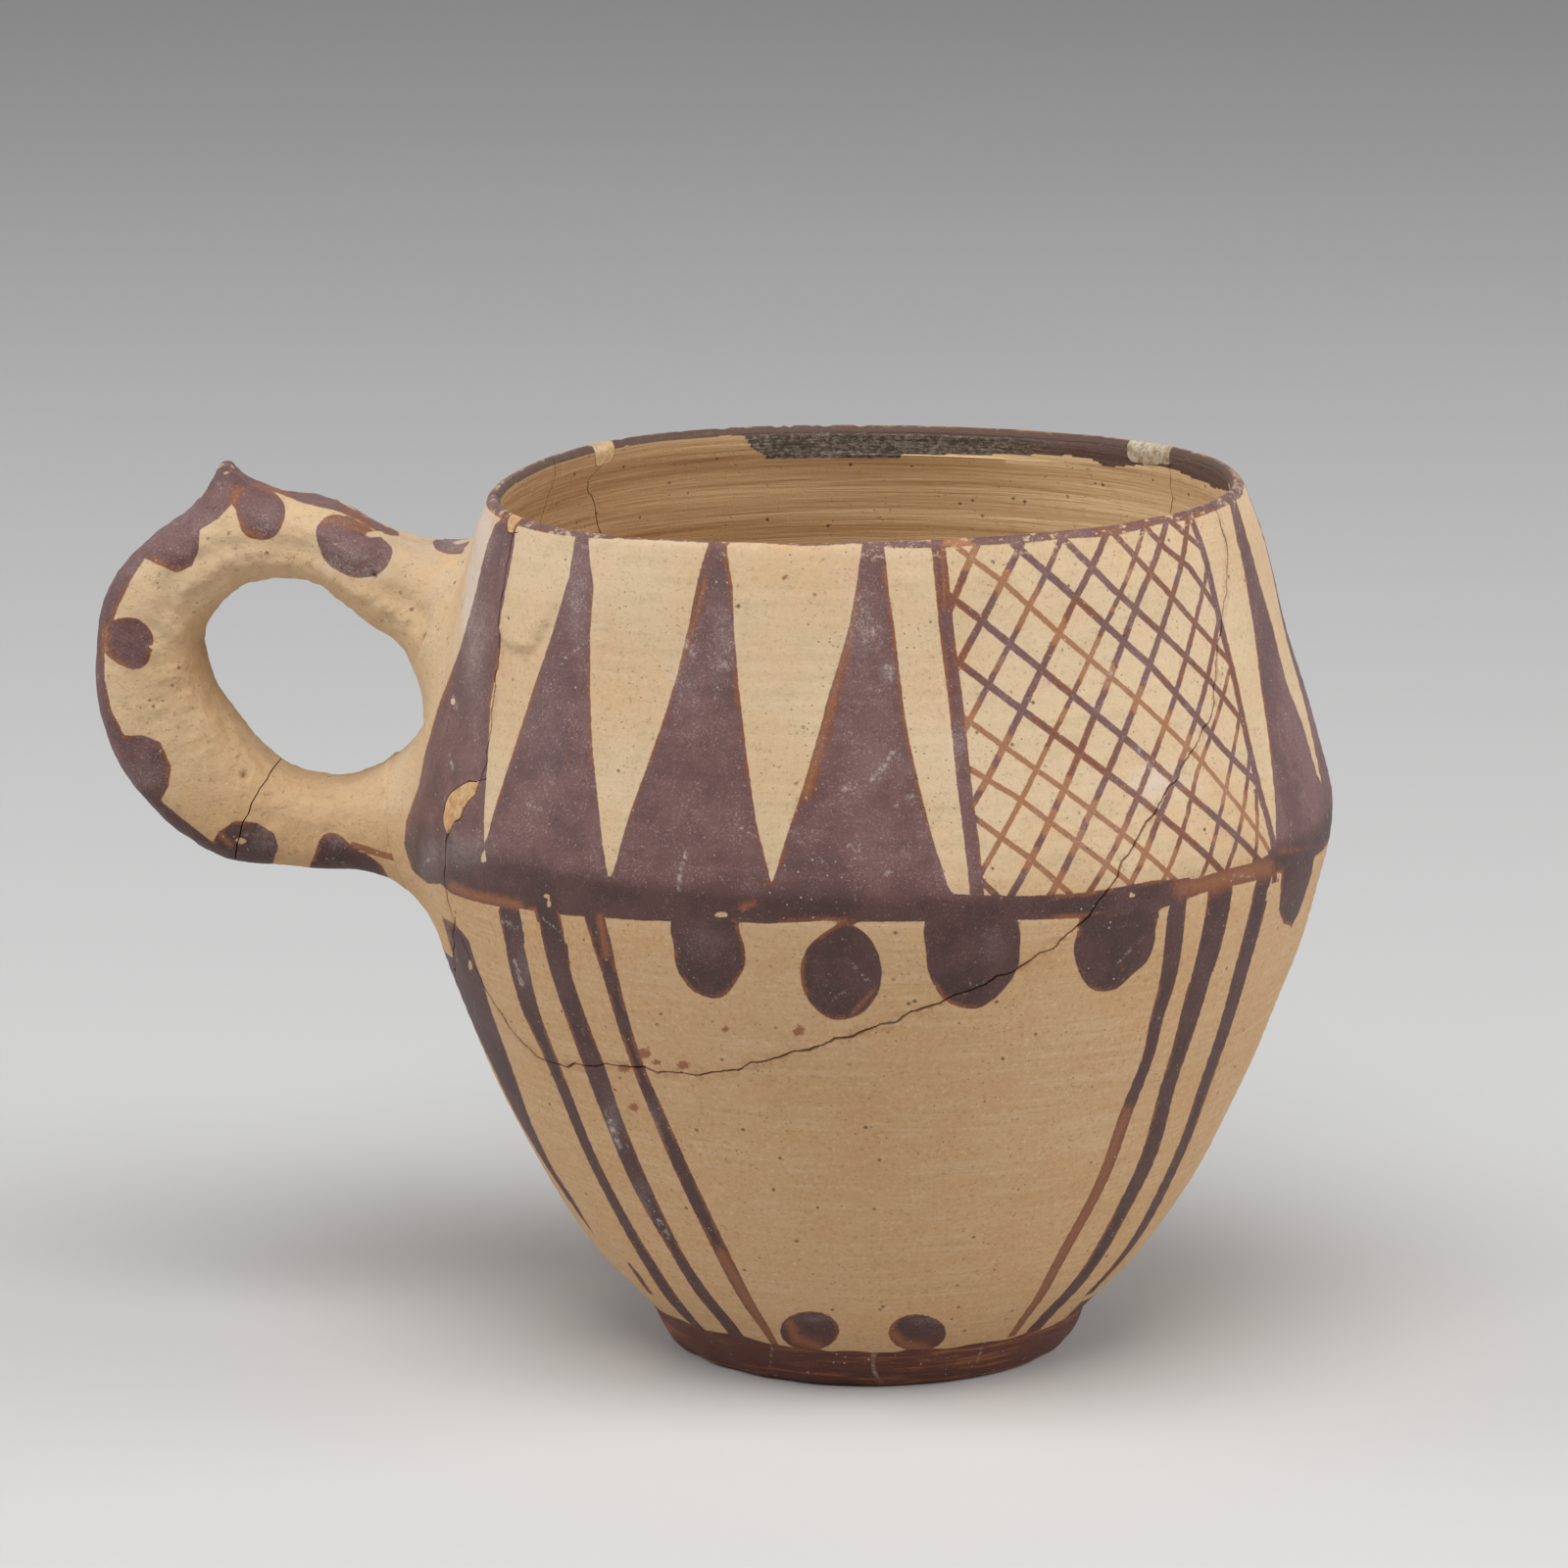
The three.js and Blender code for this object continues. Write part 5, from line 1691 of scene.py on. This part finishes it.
def filling(name, base, dark, darker):
    """A restorer's filler, mottled with two darker colours and specks."""
    r = Recipe(name, 0.85)
    colour = r.tinted(
        linear(base),
        (r.noise(1.5, 4, 0.7), 0.4, 0.65, 1.0, linear(dark)),
        (r.noise(0.9, 4, 0.7), 0.5, 0.7, 0.6, linear(darker)),
        (r.specks(0.8), 0.16, 0.08, 0.7, CLAY_SPECK),
    )
    normal = r.bump(r.noise(0.8, 4, 0.7), 0.7, 0.3)
    return r.finish(colour, normal)


def glue():
    r = Recipe("old_glue", 0.7)
    colour = r.mix(r.noise(2, 3, 0.6), linear("#523a26"), linear("#86613c"))
    return r.finish(colour, r.bump(r.noise(0.6, 3, 0.6), 0.5, 0.2))


# The stage
# Each lamp: place and size in metres, and power in watts
LAMPS = {
    "top_front": ((0.0, -0.7, 1.4), 1.2, 17),
    "left_side": ((-1.3, -0.2, 0.7), 1.0, 8),
    "right_side": ((1.3, -0.1, 0.7), 1.0, 10.5),
}
# How bright the room is where the camera or a reflection sees it, over its light on the rest
SEEN_ROOM = 0.62
ROOM_LIGHT = 0.16


def add_lamp(name, place, size, power):
    lamp = bpy.data.lights.new(name, "AREA")
    lamp.shape = "DISK"
    lamp.size = size
    lamp.energy = power
    made = bpy.data.objects.new(name, lamp)
    bpy.context.scene.collection.objects.link(made)
    made.location = place
    aim = Vector((0, 0, 0.06)) - Vector(place)
    made.rotation_euler = aim.to_track_quat("-Z", "Y").to_euler()


def add_world():
    world = bpy.data.worlds.new("studio")
    bpy.context.scene.world = world
    world.use_nodes = True
    nodes = world.node_tree.nodes
    back = nodes["Background"]
    back.inputs["Color"].default_value = (0.9, 0.9, 0.91, 1)
    path = nodes.new("ShaderNodeLightPath")
    strength = nodes.new("ShaderNodeMath")
    strength.operation = "MULTIPLY_ADD"
    seen = nodes.new("ShaderNodeMath")
    seen.operation = "MAXIMUM"
    link = world.node_tree.links.new
    link(path.outputs["Is Camera Ray"], seen.inputs[0])
    link(path.outputs["Is Glossy Ray"], seen.inputs[1])
    link(seen.outputs[0], strength.inputs[0])
    strength.inputs[1].default_value = SEEN_ROOM
    strength.inputs[2].default_value = ROOM_LIGHT
    link(strength.outputs[0], back.inputs["Strength"])


def add_floor():
    reach = 4000
    corners = [(-reach, -reach, 0), (reach, -reach, 0), (reach, reach, 0), (-reach, reach, 0)]
    made = mesh_object("floor", corners, [[0, 1, 2, 3]])
    r = Recipe("pale_floor", 0.8)
    colour = r.mix(r.noise(300, 2, 0.5), linear("#d0d0d0"), linear("#d4d4d3"))
    made.data.materials.append(r.finish(colour, r.bump(r.noise(2, 2, 0.5), 0.02, 0.05)))


def add_camera():
    data = bpy.data.cameras.new("photo_camera")
    data.lens = CAMERA_LENS
    data.sensor_width = SENSOR
    made = bpy.data.objects.new("photo_camera", data)
    bpy.context.scene.collection.objects.link(made)
    made.location = Vector(CAMERA_PLACE) * MM
    made.rotation_euler = Euler((math.radians(90 - CAMERA_PITCH), 0, math.radians(CAMERA_TURN)))
    bpy.context.scene.camera = made


def dress(made, material, slot, *nodes):
    """Gives a piece its material and its body, and puts it in place of its solids. Its slot is not used."""
    made.data.materials.clear()
    made.data.materials.append(material)
    made.data.polygons.foreach_set("use_smooth", np.ones(len(made.data.polygons), bool))
    made.data.set_sharp_from_angle(angle=math.radians(42))
    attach(made, BODY)
    if nodes:
        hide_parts(*nodes)


add_camera()
add_world()
add_floor()
for lamp_name, (spot, width, watts) in LAMPS.items():
    add_lamp(lamp_name, spot, width, watts)
bpy.context.scene.view_settings.view_transform = "Standard"

DESIGNS = (seen_design(), hidden_design())
painted = painted_clay("painted_clay")
handmade = painted_clay("handle_clay", hand=True)
slipped = slipped_clay()
plain_handle = handle_rings()
plain_spur = spur_rings()
parts = sherds()
smooth_onto_handle(parts["handle_sherd"], plain_handle)
handle = handle_parts(plain_handle, plain_spur)

for piece_name, node in (
    ("front_sherd", "front_wall"), ("handle_sherd", "handle_wall"), ("side_sherd", "side_wall"),
    ("back_sherd", "back_wall"), ("lower_sherd", "lower_bowl"),
):
    paint_wall(parts[piece_name])
    dress(parts[piece_name], painted, "painted_clay", node)
for piece_name, node in (("handle_loop", "handle_arch"), ("handle_stub", "handle_root")):
    paint_handle(handle[piece_name])
    dress(handle[piece_name], handmade, "handle_clay", node)
horn = spur(plain_spur, plain_handle)
paint_handle(horn)
dress(horn, handmade, "brown_slip", "thumb_spur")
dress(foot(), slipped, "brown_slip", "foot")
pale = filling("pale_fill", "#dcc09a", "#c9a679", "#ad845a")
ochre = filling("ochre_fill", "#d6b184", "#c3935c", "#96663a")
mottled = filling("mottled_fill", "#d3c8b4", "#a8906d", "#6f5137")
for piece_name, filler, slot_name, node in (
    ("left_rim_filling", pale, "pale_fill", "rim_fill_left"),
    ("right_rim_filling", mottled, "ochre_fill", "rim_fill_right"),
    ("front_rim_filling", ochre, "ochre_fill", "rim_fill_front"),
    ("wall_filling", ochre, "ochre_fill", "wall_fill"),
):
    dress(parts[piece_name], filler, slot_name, node)
old_glue = glue()
for count, line in enumerate(BREAKS):
    strip = seam(line, BREAK_SEED + count)
    strip.name = f"glue_seam_{count + 1}"
    dress(strip, old_glue, "ochre_fill")
